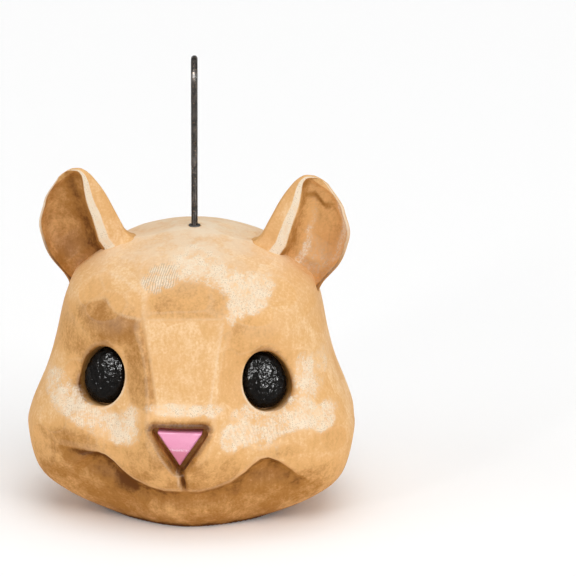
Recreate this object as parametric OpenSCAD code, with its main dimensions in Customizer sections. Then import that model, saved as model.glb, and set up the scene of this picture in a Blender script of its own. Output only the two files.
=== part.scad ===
// Hanging feeder in the shape of a carved squirrel's head.
// The face looks toward -Y, the hanger stands along +Z and the origin lies
// under the hanger, on the flat that the head stands on.

/* [Head] */
// Height of the crown where the hanger comes out
head_h = 130.5; // [120:0.5:140]
// Full width over the cheeks
cheek_w = 148.5; // [142:0.5:156]
// Full width at the temples
temple_w = 124; // [118:1:130]
// Width of the flat that the head stands on
base_w = 70; // [60:1:80]
// Distance from the hanger forward to the plain face
face_d = 55; // [50:0.5:60]
// Distance from the hanger back to the neck opening
back_d = 56; // [50:0.5:60]
// Wall thickness of both moulded shells
wall = 4.5; // [3.5:0.1:5.5]
// How far the muzzle stands out of the face
muzzle_out = 9; // [7:0.5:12]
// How far the nose bridge stands out before it is cut flat
bridge_out = 8; // [6:0.5:10]
// Depth of the hollow that each eye sits in
socket_in = 6.5; // [4:0.5:8]
// Depth of the hollow between each eye and the nose bridge
corner_in = 2.6; // [1.5:0.1:3]
// How far the jaw draws back right under the smile line
lip_in = 2; // [1:0.1:2.5]
// Sharpness with which a knife cut ends, more is shorter
cut_end = 0.07; // [0.03:0.005:0.12]
// Diameter of the drain holes in the floor
drain_d = 4; // [3:0.5:5]

/* [Seam and neck opening] */
// Distance from the hanger back to the seam
seam_y = 32; // [30:0.5:36]
// Length of the tongue that the cover slides into the face shell
tongue_l = 6; // [4:0.5:8]
// Thickness of that tongue
tongue_t = 2; // [1.5:0.1:2.4]

/* [Ears] */
// Distance of the ear root from the middle of the head
ear_x = 43.7; // [42:0.1:45]
// Turn of the ear seat, from level, toward the cheek
ear_turn = 37.7; // [35:0.5:40]
// Height of an ear above its seat
ear_h = 42.5; // [38:0.5:46]
// Depth of an ear at its root
ear_d = 19; // [16:0.5:22]
// Depth of the hollow in an ear
ear_bowl = 9.5; // [6:0.5:11]
// Width of the flat rim round the hollow
ear_rim = 3.6; // [3:0.1:4.5]
// Diameter of the spigot under an ear
spigot_d = 8; // [6:0.5:9]

/* [Eyes] */
// Distance of an eye from the middle of the face
eye_x = 35.3; // [34:0.1:37]
// Height of an eye's middle
eye_z = 71.5; // [70:0.5:74]
// Distance from the hanger forward to the floor of an eye socket
eye_y = 40.5; // [39:0.5:41.5]
// Turn of an eye away from straight ahead
eye_turn = 28; // [25:1:32]
// Tilt of an eye, upward from level
eye_tilt = 8; // [5:0.5:12]
// Width of an eye
eye_w = 21; // [19:0.5:22]
// Height of an eye
eye_h = 27.5; // [25:0.5:29]
// Thickness of an eye at its middle
eye_t = 7.5; // [7:0.5:9]
// Diameter of the shank behind an eye
shank_d = 5; // [4:0.5:6]

/* [Nose and mouth] */
// Width of the nose along its top edge
nose_w = 21.4; // [20:0.2:23]
// Height of the nose
nose_h = 16.6; // [15:0.2:18]
// Height of the nose's top edge above the base
nose_top = 52.6; // [51:0.2:54]
// Width of the cut round the nose
nose_cut = 2.2; // [1.6:0.2:2.8]
// Height of the mouth line at the middle
mouth_z = 22; // [20:0.5:24]
// Distance of a mouth corner from the middle
smile_x = 39; // [36:1:42]
// Rise of the mouth line from the middle to its corners
smile_rise = 15.5; // [12:0.5:17]

/* [Hanger] */
// Diameter of the hanging rod
rod_d = 2.94; // [2.8:0.02:3.2]
// Top of the eye in the rod
rod_top = 211.3; // [200:0.5:220]
// Radius of the rod's middle line round its eye
loop_r = 7.5; // [6.5:0.1:9]
// Height of the eye, from its middle down to where the legs meet
loop_l = 33; // [28:0.5:38]
// Turn of the eye's plane from straight fore and aft
loop_turn = -5.7; // [-20:0.1:20]
// Diameter of the bush in the crown
bush_d = 5.3; // [5:0.1:6.5]
// Radial play of the rod in its bush
rod_play = 0.08; // [0.05:0.01:0.1]
// Diameter of the washer that carries the head
washer_d = 22; // [16:0.5:26]

/* [Food cup] */
// Diameter of the cup's rim
cup_d = 62; // [54:1:66]
// Height of the cup
cup_h = 27; // [20:0.5:32]
// Wall thickness of the cup
cup_wall = 2; // [1.6:0.1:2.6]

/* [Hidden] */

// Points round the head, and rings on the face, the sides and inside
n_round = 88;
n_face = 26;
n_side = 5;
n_inner = 9;
// Height that the rings of the face close round
mid_z = 60;
// Exponents of the face's and the back's roundness
face_q = 2.2;
back_q = 2.2;
// Depth at which the back of the head would close
back_close = 70;
fit_gap = 0.3;
glue_gap = 0.05;
// Thickness of the pads behind the sockets, and of a socket's floor
pad_t = 9;
socket_floor = 3;
socket_gap = 0.5;
shank_l = 7;
dome_r = 19;
eye_lean = 12;
socket_flare = 14;
nose_y = 60;
nose_t = 6;
nose_tilt = 4;
cleft_w = 1.4;
cleft_l = 13;
spigot_l = 7;
ear_front = -9;
lip_r = 2.4;
// The bent wire is a hair thicker than the rod, so that the rod ends inside it
wire_r = rod_d / 2 + 0.04;
bend_r = 12;
tail_gap = 0.35;
tail_l = 9;
// Underside of the crown, where the bush and the washer bear
bush_seat = head_h - wall - 0.4;
flange_d = bush_d + 9;
washer_t = 1.2;
washer_z = bush_seat - 2 - washer_t - glue_gap;
nut_h = 3;
nut_af = 6;
rod_end = washer_z - nut_h - 6;
cup_y = -4;
drain_x = 15;
drain_y = -35.5;
cup_foot = 46;
cup_floor = wall + 0.3;
// Height and overhang of the cup's rim
rim_h = 4;
rim_out = 3;
// The ring round the cup's foot: play, width, height and the flat on its top
ring_play = 0.9;
ring_w = 3;
ring_h = 5;
ring_flat = 0.8;
// How far a cut through the crown starts below its top
crown_cut = 20;

// Right half of the head's outline, from the crown down to the base
half_outline = [
    [0, head_h],
    [31.5, head_h - 5.6],
    [51, head_h - 17.7],
    [temple_w / 2 - 4.5, 101],
    [temple_w / 2, 81],
    [temple_w / 2 + 4, 67],
    [cheek_w / 2 - 1.2, 49],
    [cheek_w / 2, 38],
    [cheek_w / 2 - 5, 20],
    [base_w / 2 + 21, 9],
    [base_w / 2, 0],
    [0, -12],
];

function flipX(p) = [-p.x, p.y];

// Smooth curve through the points p, with t from 0 to len(p) - 1
function curveAt(p, t) =
    let (
        n = len(p) - 1,
        i = min(floor(t), n - 1),
        f = t - i,
        a = i == 0 ? flipX(p[1]) : p[i - 1],
        d = i == n - 1 ? flipX(p[n - 1]) : p[i + 2]
    )
    0.5 * (2 * p[i] + f * (p[i + 1] - a)
        + f * f * (2 * a - 5 * p[i] + 4 * p[i + 1] - d)
        + f * f * f * (3 * p[i] - a - 3 * p[i + 1] + d));

outline = [
    for (k = [0:n_round - 1])
        let (h = n_round / 2, j = k <= h ? k : n_round - k,
            p = curveAt(half_outline, j / h * (len(half_outline) - 1)))
        k <= h ? p : flipX(p)
];

// The outline moved inward by t
function insetOutline(t) = [
    for (k = [0:n_round - 1])
        let (a = outline[(k + n_round - 1) % n_round], b = outline[(k + 1) % n_round],
            d = (b - a) / norm(b - a))
        outline[k] + t * [d.y, -d.x]
];

// Depth of the widest ring, which leans back toward the crown
function ringY(z) = -18 * (1 - exp((z - head_h) / 30));

// A soft round swelling at (cx, cz)
function swell(x, z, cx, cz, rx, rz) = exp(-pow((x - cx) / rx, 2) - pow((z - cz) / rz, 2));

// Spread of the nose bridge, which widens toward the brow
function bridgeWidth(z) = 14 + 0.15 * (z - 66);

// Height of the smile line at x
smile_line = [
    [0, 0], [0.2, -0.03], [0.38, 0.05], [0.57, 0.24], [0.73, 0.54], [0.81, 0.75],
    [0.91, 0.95], [1, 1], [1.11, 0.85], [1.21, 0.62], [1.34, 0.3], [1.8, -0.8]
];
function smileZ(x) = mouth_z + smile_rise * lookup(abs(x) / smile_x, smile_line);

// A soft step, from 0 below to 1 above
function step(d, soft) = 1 / (1 + exp(-d / soft));

// How far the carved face stands forward of the plain one at (x, z)
function carving(x, z) =
    muzzle_out * swell(x, z, 0, 42, 28, 24)
    + 2 * swell(abs(x), z, 15, 37, 12, 11)
    + bridge_out * swell(x, z, 0, 80, bridgeWidth(z), 28)
    - socket_in * swell(abs(x), z, eye_x, eye_z, 16, 19)
    - corner_in * swell(abs(x), z, 23, 80, 7, 16)
    - lip_in * swell(x, z, 0, smileZ(x) - 4.5, smile_x + 5, 4.5)
    + 3 * swell(abs(x), z, 40, 100, 24, 13)
    + 4 * swell(abs(x), z, 52, 47, 16, 15)
    - 4 * swell(abs(x), z, smile_x, mouth_z + smile_rise - 7, 10, 7)
    + 4 * step(z - smileZ(x), 1.6) * swell(x, 0, 0, 0, smile_x + 3, 1)
    + 2.5 * step(z - smileZ(x), 1.6) * swell(abs(x), z, smile_x, smileZ(x), 12, 9)
    + 6 * swell(x, z, 0, 10, 26, 12);

// Depth of the knife-cut flat down the nose bridge
function bridgeY(z) = 0.27 * (z - 63) - 61;

// The greater of a and b, with the edge between them eased
function easedMax(a, b, soft) = 0.5 * (a + b + sqrt(pow(a - b, 2) + 4 * soft * soft));

// The tip of the muzzle, which the nose sits in
function muzzleTip(x, z) = 2.5 * swell(x, z, 0, nose_top - 3, 15, 9);

// Flat seats for the ears, as the distance of their plane from the middle
seat_dir = [sin(ear_turn), cos(ear_turn)];
seat_dist = 69.2;
seat_z = mid_z + (seat_dist - ear_x * seat_dir.x) / seat_dir.y;
function seated(p, t) =
    let (d = abs(p.x) * seat_dir.x + (p.z - mid_z) * seat_dir.y, m = seat_dist - t)
    d > m ? [p.x * m / d, p.y, mid_z + (p.z - mid_z) * m / d] : p;

function onBase(p, t) = [p.x, p.y, max(p.z, t)];

// Extra thickness behind the eyes and the nose, which carries their sockets
function pad(x, z) =
    pad_t * max(
        step(1.25 - norm([(abs(x) - eye_x) / (eye_w / 2 + 3), (z - eye_z) / (eye_h / 2 + 3)]), 0.06),
        step(1.25 - norm([x / 13, (z - nose_top + nose_h / 2 - 2) / 12]), 0.06)
    );

// A point of the face, t below its surface, at the share s of the outline o
function roundFace(o, s, t) =
    let (x = o.x * s, z = mid_z + (o.y - mid_z) * s, e = ringY(o.y),
        y = e - (face_d + e - t) * pow(1 - pow(s, face_q), 1 / face_q) + (t > 0 ? pad(x, z) : 0)
            - carving(x, z) * pow(1 - pow(s, 4), 0.5))
    [x, easedMax(y, bridgeY(z) + t, 0.4) - muzzleTip(x, z), z];

// A point of the sides and back, at depth y
function roundSide(o, y, t) =
    let (e = ringY(o.y), g = pow(1 - pow((y - e) / (back_close - e), back_q), 1 / back_q))
    [o.x * g, y, mid_z + (o.y - mid_z) * g];

// Knife cuts on the face, as [share of half the cheeks' width, share of the
// head's height, reach, depth]
face_cuts = [
    [-0.03, 0.84, 15, 1.5], [0.39, 0.85, 9, 0.9], [-0.17, 0.92, 8, 0.6], [0.09, 0.93, 9, 0.7],
    [-0.42, 0.89, 11, 0.9], [-0.59, 0.83, 9, 0.7], [0.59, 0.84, 9, 0.7], [-0.5, 0.8, 9, 1],
    [0.42, 0.8, 9, 0.8], [-0.7, 0.49, 8, 0.7], [-0.55, 0.41, 8, 0.6], [-0.36, 0.39, 6, 0.4],
    [-0.82, 0.38, 9, 0.8], [-0.89, 0.26, 10, 1], [0.36, 0.39, 6, 0.4], [0.51, 0.41, 6, 0.3],
    [0.67, 0.43, 8, 0.6], [0.83, 0.43, 9, 0.8], [0.92, 0.33, 10, 0.9], [-0.48, 0.11, 11, 0.9],
    [-0.74, 0.15, 10, 0.9], [0.47, 0.11, 11, 0.9], [0.74, 0.15, 10, 0.9], [0, 0.07, 12, 0.7],
    [-0.04, 0.99, 9, 0.6], [-0.3, 0.97, 9, 0.7], [0.27, 0.97, 9, 0.7],
];
// Rows of knife cuts round the sides, as [depth, first turn, reach, depth of cut]
side_cuts = [[2, 10, 9, 0.8], [20, 0, 10.5, 0.9], [39, 10, 10, 0.8], [52, 0, 9, 0.5]];
side_step = 20;
// The drawn-in waist over the cheeks, which has none
waist_z = 76;
waist_h = 48;

// Number of the outline point that lies toward (x, z) from the middle
function toward(x, z) =
    let (a = atan2(x, z - mid_z),
        off = [for (o = outline) abs((atan2(o.x, o.y - mid_z) - a + 540) % 360 - 180)])
    search(min(off), off)[0];

// A cut's middle, its direction out of the head, its reach and its depth
function cutAt(c, u, v, reach, depth) =
    let (n = cross(u, v) / norm(cross(u, v)), out = (c - [0, 0, mid_z]) * n > 0 ? n : -n)
    [c, out, reach, depth];

function faceCut(c) =
    let (x = c[0] * cheek_w / 2, z = c[1] * head_h, k = toward(x, z), o = outline[k],
        s = norm([x, z - mid_z]) / norm([o.x, o.y - mid_z]),
        a = outline[(k + 1) % n_round], b = outline[(k + n_round - 1) % n_round])
    cutAt(roundFace(o, s, 0), roundFace(a, s, 0) - roundFace(b, s, 0),
        roundFace(o, min(s + 0.02, 1), 0) - roundFace(o, s - 0.02, 0), c[2], c[3]);

function sideCut(y, turn, reach, depth) =
    let (k = round(turn * n_round / 360) % n_round, o = outline[k],
        a = outline[(k + 1) % n_round], b = outline[(k + n_round - 1) % n_round])
    cutAt(roundSide(o, y, 0), roundSide(a, y, 0) - roundSide(b, y, 0),
        roundSide(o, y + 1, 0) - roundSide(o, y - 1, 0), reach, depth);

cuts = concat(
    [for (c = face_cuts) faceCut(c)],
    [for (r = side_cuts) for (turn = [r[1]:side_step:359])
        let (c = sideCut(r[0], turn, r[2], r[3]))
        if (c[0].z > 12 && abs(c[0].z - waist_z) > waist_h / 2) c]
);

// The point p after the knife: moved onto the deepest cut that reaches it. On
// the sides it stays at its own depth, so that both shells meet.
function knifed(p, flat_y) =
    let (
        d = [for (c = cuts) (p - c[0]) * c[1] + c[3] - cut_end * pow(max(norm(p - c[0]) - c[2], 0), 2)],
        m = max(d),
        n = cuts[search(m, d)[0]][1],
        way = flat_y ? [n.x, 0, n.z] / (n.x * n.x + n.z * n.z) : n
    )
    m > 0 ? p - m * min(max(p.z / 2, 0), 1) * way : p;

function facePoint(o, s, t) =
    let (p = roundFace(o, s, t))
    onBase(seated(t > 0 ? p : knifed(p, false), t), t);

function sidePoint(o, y, t) =
    let (p = roundSide(o, y, t))
    onBase(seated(t > 0 ? p : knifed(p, true), t), t);

function faceRing(loop, s, t) = [for (o = loop) facePoint(o, s, t)];
function sideRing(loop, share, y, t) = [
    for (o = loop)
        let (e = ringY(o.y))
        sidePoint(o, e + (y - e) * share, t)
];

function faceRings(loop, n, t) = [for (i = [1:n]) faceRing(loop, sin(90 * i / n), t)];
function sideRings(loop, n, y, t) = [for (i = [1:n]) sideRing(loop, i / n, y, t)];

// Joins rings of equal count into one closed skin. With poles it closes each
// end on a point, and without them the last ring meets the first again. The
// first rings, as many as n_carved, are the carved outside.
module skin(rings, n_carved, poles = []) {
    n = len(rings[0]);
    m = len(rings);
    base = len(poles);
    at = function(i, k) base + (i % m) * n + (k % n);
    rows = base == 0 ? m : m - 1;
    all = concat(poles, [for (r = rings) each r]);
    quads = [
        for (i = [0:rows - 1]) for (k = [0:n - 1])
            [at(i, k), at(i + 1, k), at(i + 1, k + 1), at(i, k + 1)]
    ];
    // Carved quads are split along their outer diagonal, so that facets follow
    // the ridges. Elsewhere both shells are split along the same lines.
    reach = function(a, b) norm((a + b) / 2 - [0, 0, mid_z]);
    first = function(q) q[0] < base + n_carved * n
        ? reach(all[q[0]], all[q[2]]) > reach(all[q[1]], all[q[3]])
        : base == 0;
    splits = function(q) first(q)
        ? [[q[0], q[1], q[2]], [q[0], q[2], q[3]]]
        : [[q[0], q[1], q[3]], [q[1], q[2], q[3]]];
    polyhedron(
        points = all,
        faces = concat(
            [for (q = quads) each splits(q)],
            base == 0 ? [] : [for (k = [0:n - 1]) [0, at(0, k), at(0, k + 1)]],
            base == 0 ? [] : [for (k = [0:n - 1]) [1, at(m - 1, k + 1), at(m - 1, k)]]
        )
    );
}

module face_skin() {
    inner = insetOutline(wall);
    outer_rings = concat(faceRings(outline, n_face, 0), sideRings(outline, n_side, seam_y, 0));
    inner_rings = concat(
        faceRings(inner, n_inner, wall),
        sideRings(inner, 3, seam_y - tongue_l, wall),
        [for (y = [seam_y - tongue_l / 2, seam_y]) sideRing(inner, 1, y, wall)]
    );
    m = len(inner_rings);
    skin(
        concat(outer_rings, [for (i = [m - 1:-1:0]) inner_rings[i]]),
        len(outer_rings) - 1,
        [facePoint([0, mid_z], 0, 0), facePoint([0, mid_z], 0, wall)]
    );
}

// Places a child at an eye, with -Y pointing out of the face
module atEye(side) {
    mirror([side < 0 ? 1 : 0, 0, 0])
    translate([eye_x, -eye_y, eye_z])
    rotate([-eye_tilt, 0, eye_turn])
    children();
}

// Egg outline w wide and h high, narrower at the top and leaning to the nose
module egg(w, h) {
    rotate(eye_lean)
    polygon([
        for (a = [0:10:350])
            [w / 2 * cos(a) * (1 - 0.12 * sin(a)), h / 2 * sin(a)]
    ]);
}

// Extrudes an outline that is drawn as seen from the front, from depth y0
// forward by l
module forward(l) {
    rotate([90, 0, 0])
    linear_extrude(l)
    children();
}

module eye(side) {
    color([0.06, 0.05, 0.05])
    atEye(side) {
        translate([0, -glue_gap, 0])
        intersection() {
            forward(eye_t) egg(eye_w, eye_h);
            translate([0, dome_r - eye_t, 0]) sphere(dome_r, $fn = 96);
        }
        rotate([-90, 0, 0])
        translate([0, 0, -1]) cylinder(h = shank_l + 1, d = shank_d, $fn = 48);
    }
}

module left_eye() {
    eye(-1);
}

module right_eye() {
    eye(1);
}

// Places a child at the nose, with -Y pointing out of the face
module atNose() {
    translate([0, -nose_y, nose_top])
    rotate([nose_tilt, 0, 0])
    children();
}

// Triangle of the nose, with its point down
module noseOutline() {
    polygon([[-nose_w / 2, 0], [nose_w / 2, 0], [0, -nose_h]]);
}

module nose() {
    color("hotpink")
    atNose() {
        translate([0, -glue_gap, 0])
        intersection() {
            forward(nose_t + 2) noseOutline();
            rotate([90, 0, 90])
            linear_extrude(2 * nose_w, center = true)
            polygon([
                [0, 2],
                [-nose_t + 1.4, 2],
                [-nose_t + 1.4, 0],
                [-nose_t, -2.2],
                [-nose_t + 0.4, -nose_h / 2 + 0.4],
                [-nose_t + 0.9, -nose_h / 2],
                [-nose_t + 0.4, -nose_h / 2 - 0.5],
                [-nose_t + 2, -nose_h - 1],
                [0, -nose_h - 1],
            ]);
        }
        rotate([-90, 0, 0])
        translate([0, nose_h * 0.4, -1]) cylinder(h = shank_l + 1, d = shank_d, $fn = 48);
    }
}

// Push-on washers that hold the eyes and the nose from inside
module shank_washers() {
    color("whitesmoke") {
        for (side = [-1, 1]) atEye(side) pushWasher();
        atNose() translate([0, 0, -nose_h * 0.4]) pushWasher();
    }
}

module pushWasher() {
    rotate([-90, 0, 0])
    translate([0, 0, socket_floor])
    difference() {
        cylinder(h = 1.4, d = 13, $fn = 48);
        translate([0, 0, -1]) cylinder(h = 4, d = shank_d + 2 * glue_gap, $fn = 48);
    }
}

// Sockets for the eyes and nose, the bores behind them and their inner seats
module socketCuts() {
    for (side = [-1, 1]) atEye(side) {
        forward(30) egg(eye_w + 2 * socket_gap, eye_h + 2 * socket_gap);
        translate([0, -1.5, 0])
        rotate([0, 0, -socket_flare])
        forward(30) egg(eye_w + 2 * socket_gap, eye_h + 2 * socket_gap);
        shankCut();
    }
    atNose() {
        forward(20) offset(r = nose_cut, $fn = 24) noseOutline();
        translate([0, 0, -nose_h * 0.4]) shankCut();
    }
}

module shankCut() {
    rotate([-90, 0, 0]) {
        translate([0, 0, -1]) cylinder(h = 20, d = shank_d + 2 * glue_gap, $fn = 48);
        translate([0, 0, socket_floor]) cylinder(h = 14, d = 15, $fn = 48);
    }
}

// The cleft that runs from the nose down to the mouth line
module cleft() {
    translate([0, -nose_y - 4.6, nose_top - nose_h + 1])
    rotate([28, 0, 0])
    translate([-cleft_w / 2, -12, -cleft_l])
    cube([cleft_w, 12, cleft_l]);
}

// Places a child on an ear's seat, with X down the seat and Z up the ear
module atEar(side) {
    mirror([side < 0 ? 1 : 0, 0, 0])
    translate([ear_x, 0, seat_z])
    rotate([0, ear_turn, 0])
    children();
}

// Inner and outer edge of an ear, as [share of its height, inner, outer]
ear_edges = [
    [0, -18.5, 15.5],
    [0.07, -19, 16.5],
    [0.19, -20, 17.2],
    [0.35, -21.3, 17.5],
    [0.54, -22.7, 15.3],
    [0.72, -23.2, 11],
    [0.83, -23, 5],
    [0.89, -22.4, 1.6],
    [0.96, -20.5, -5.9],
    [1, -17.5, -11],
];
ear_sections = [0, 0.035, 0.08, 0.15, 0.23, 0.32, 0.42, 0.52, 0.62, 0.71, 0.79, 0.86, 0.92, 0.965, 1];

function between(table, x, column) = lookup(x, [for (r = table) [r[0], r[column]]]);

// One section of an ear at the share h of its height: round its back, then
// along its rim and through its hollow
function earSection(h) =
    let (
        a = between(ear_edges, h, 1),
        b = between(ear_edges, h, 2),
        mid = (a + b) / 2,
        half = (b - a) / 2,
        deep = ear_d * (1 - 0.72 * h) - 3,
        bowl = ear_bowl * pow(max(sin(180 * min(max((h - 0.03) / 0.92, 0), 1)), 0), 0.6),
        inner = max(half - ear_rim, half / 3),
        lean = min(half - inner, 2) * 0.6,
        front = function(x) ear_front + 0.22 * x + 5 * h
    )
    concat(
        [for (u = [-90:15:90])
            let (x = mid + half * sin(u)) [x, front(x) + 2.4 + deep * cos(u), h * ear_h]],
        [for (v = [5:-1:-5])
            let (x = mid + lean + inner * v / 5)
            [x, front(x) + min(bowl, deep) * pow(max(1 - v * v / 25, 0), 0.6), h * ear_h]]
    );

module earBody() {
    rings = [for (h = ear_sections) earSection(h)];
    n = len(rings[0]);
    m = len(rings);
    polyhedron(
        points = [for (r = rings) each r],
        faces = concat(
            [for (i = [0:m - 2]) for (k = [0:n - 1])
                [i * n + k, i * n + (k + 1) % n, (i + 1) * n + (k + 1) % n]],
            [for (i = [0:m - 2]) for (k = [0:n - 1])
                [i * n + k, (i + 1) * n + (k + 1) % n, (i + 1) * n + k]],
            [[for (k = [n - 1:-1:0]) (k + 7) % n]],
            [[for (k = [0:n - 1]) (m - 1) * n + (k + 6) % n]]
        )
    );
}

module ear(side) {
    color("burlywood")
    atEar(side)
    translate([0, 0, glue_gap]) {
        earBody();
        translate([0, 0, -spigot_l]) cylinder(h = spigot_l + 1, d = spigot_d, $fn = 48);
    }
}

module left_ear() {
    ear(-1);
}

module right_ear() {
    ear(1);
}

module front_shell() {
    color("burlywood")
    difference() {
        face_skin();
        socketCuts();
        cleft();
        translate([0, 0, head_h - crown_cut]) cylinder(h = 2 * crown_cut, d = bush_d + 2 * glue_gap, $fn = 48);
        translate([0, 0, bush_seat - 8]) cylinder(h = 8 + glue_gap, d = flange_d + 1, $fn = 48);
        translate([0, cup_y, wall]) cylinder(h = ring_h + 1, d = cup_foot + 2 * (ring_play + ring_w + 0.6), $fn = 96);
        for (side = [-1, 1]) atEar(side)
            translate([0, 0, -12]) cylinder(h = 20, d = spigot_d + 2 * glue_gap, $fn = 48);
        for (side = [-1, 1])
            translate([side * drain_x, drain_y, -1]) cylinder(h = wall + 2, d = drain_d, $fn = 48);
    }
}

// The back of the head: a moulded ring with a rolled lip round the neck
// opening and a tongue that fits inside the face shell
module rear_cover() {
    inner = insetOutline(wall);
    gap = wall + fit_gap;
    tongue = insetOutline(gap);
    tongue_in = insetOutline(gap + tongue_t);
    last = back_d - lip_r;
    color("burlywood")
    skin(concat(
        [for (i = [0:3]) sideRing(outline, 1, seam_y + glue_gap + (last - seam_y) * i / 3, 0)],
        [for (a = [30:30:150])
            let (t = lip_r * (1 - cos(a)) * wall / (2 * lip_r))
            sideRing(insetOutline(t), 1, last + lip_r * sin(a), t)],
        [for (i = [3:-1:0])
            sideRing(inner, 1, seam_y + glue_gap + (last - seam_y) * i / 3, wall)],
        [
            sideRing(tongue_in, 1, seam_y - tongue_l, gap + tongue_t),
            sideRing(tongue, 1, seam_y - tongue_l, gap),
            sideRing(tongue, 1, seam_y - tongue_l / 2, gap),
            sideRing(tongue, 1, seam_y + glue_gap, gap),
        ]
    ), 3);
}

// Black bush that lines the hole in the crown
module crown_bush() {
    color([0.1, 0.09, 0.08])
    difference() {
        union() {
            translate([0, 0, head_h - wall - 2]) cylinder(h = wall + 2.4, d = bush_d, $fn = 48);
            translate([0, 0, bush_seat - 2]) cylinder(h = 2, d = flange_d, $fn = 48);
        }
        translate([0, 0, head_h - crown_cut]) cylinder(h = 2 * crown_cut, d = rod_d + 2 * rod_play, $fn = 48);
    }
}

// Points on an arc of radius r about c, from angle a to angle b
function arc(c, r, a, b, n) = [
    for (i = [0:n])
        let (s = a + (b - a) * i / n)
        c + r * [cos(s), sin(s)]
];

// Middle line of the bent wire above the straight rod, as [out, up]: up and out
// along one leg, round the eye, and down the other leg to the tail
loop_c = [0, rod_top - wire_r - loop_r];
loop_foot = loop_c.y - loop_l;
tail_x = rod_d + tail_gap;
lean_a = asin(loop_r / loop_l);
lean_b = asin(loop_r / norm([tail_x, loop_l])) - atan(tail_x / loop_l);
wire_path = concat(
    [[0, loop_foot - bend_r * tan(lean_a / 2) - 3]],
    arc([-bend_r, loop_foot - bend_r * tan(lean_a / 2)], bend_r, 0, lean_a, 3),
    arc(loop_c, loop_r, 180 + lean_a, -lean_b, 24),
    arc([tail_x + bend_r, loop_foot - bend_r * tan(lean_b / 2)], bend_r, 180 - lean_b, 180, 2),
    [[tail_x, loop_foot - tail_l]]
);

// A wire of radius r swept along a flat path in the XZ plane
module sweptWire(path, r, sides) {
    m = len(path);
    rings = [
        for (i = [0:m - 1])
            let (d = path[min(i + 1, m - 1)] - path[max(i - 1, 0)], n = [d.y, -d.x] / norm(d))
            [for (k = [0:sides - 1])
                let (a = 360 * k / sides)
                [path[i].x + r * cos(a) * n.x, r * sin(a), path[i].y + r * cos(a) * n.y]]
    ];
    polyhedron(
        points = [for (q = rings) each q],
        faces = concat(
            [for (i = [0:m - 2]) for (k = [0:sides - 1])
                [i * sides + k, (i + 1) * sides + k, (i + 1) * sides + (k + 1) % sides]],
            [for (i = [0:m - 2]) for (k = [0:sides - 1])
                [i * sides + k, (i + 1) * sides + (k + 1) % sides, i * sides + (k + 1) % sides]],
            [[for (k = [0:sides - 1]) k]],
            [[for (k = [sides - 1:-1:0]) (m - 1) * sides + k]]
        )
    );
}

// One wire: a straight rod below and an eye bent from it above
module hanging_rod() {
    color([0.16, 0.12, 0.1]) {
        translate([0, 0, rod_end])
        cylinder(h = wire_path[0].y + 2 - rod_end, d = rod_d, $fn = 48);
        rotate([0, 0, -90 - loop_turn]) sweptWire(wire_path, wire_r, 16);
    }
}

// Broad washer that the head hangs on
module load_washer() {
    color("silver")
    translate([0, 0, washer_z])
    difference() {
        cylinder(h = washer_t, d = washer_d, $fn = 64);
        translate([0, 0, -1]) cylinder(h = washer_t + 2, d = rod_d + 0.2, $fn = 48);
    }
}

module rod_nut() {
    color("silver")
    translate([0, 0, washer_z - nut_h])
    difference() {
        cylinder(h = nut_h, d = nut_af / cos(30), $fn = 6);
        translate([0, 0, -1]) cylinder(h = nut_h + 2, d = rod_d + 0.02, $fn = 48);
    }
}

// Loose cup that holds the food and lifts out for washing
module food_cup() {
    r = cup_d / 2;
    color("tan")
    translate([0, cup_y, cup_floor])
    rotate_extrude($fn = 96)
    polygon([
        [0, 0],
        [cup_foot / 2, 0],
        [r - rim_out, cup_h - rim_h],
        [r, cup_h - rim_h / 2],
        [r, cup_h],
        [r - rim_out - cup_wall, cup_h],
        [r - rim_out - cup_wall, cup_h - rim_h],
        [cup_foot / 2 - cup_wall, cup_wall],
        [0, cup_wall],
    ]);
}

// Ring on the floor of the head that keeps the cup in its place
module cup_ring() {
    r = cup_foot / 2 + ring_play;
    color("burlywood")
    translate([0, cup_y, wall + glue_gap])
    rotate_extrude($fn = 96)
    polygon([
        [r, 0],
        [r + ring_w, 0],
        [r + ring_w, ring_h - 1],
        [r + ring_w / 2, ring_h],
        [r + ring_w / 2 - ring_flat, ring_h],
    ]);
}

front_shell();
rear_cover();
left_ear();
right_ear();
left_eye();
right_eye();
nose();
shank_washers();
crown_bush();
hanging_rod();
load_washer();
rod_nut();
food_cup();
cup_ring();
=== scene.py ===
import math

import bpy
import numpy as np
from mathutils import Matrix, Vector
from mathutils.bvhtree import BVHTree
from mathutils.kdtree import KDTree


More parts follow.
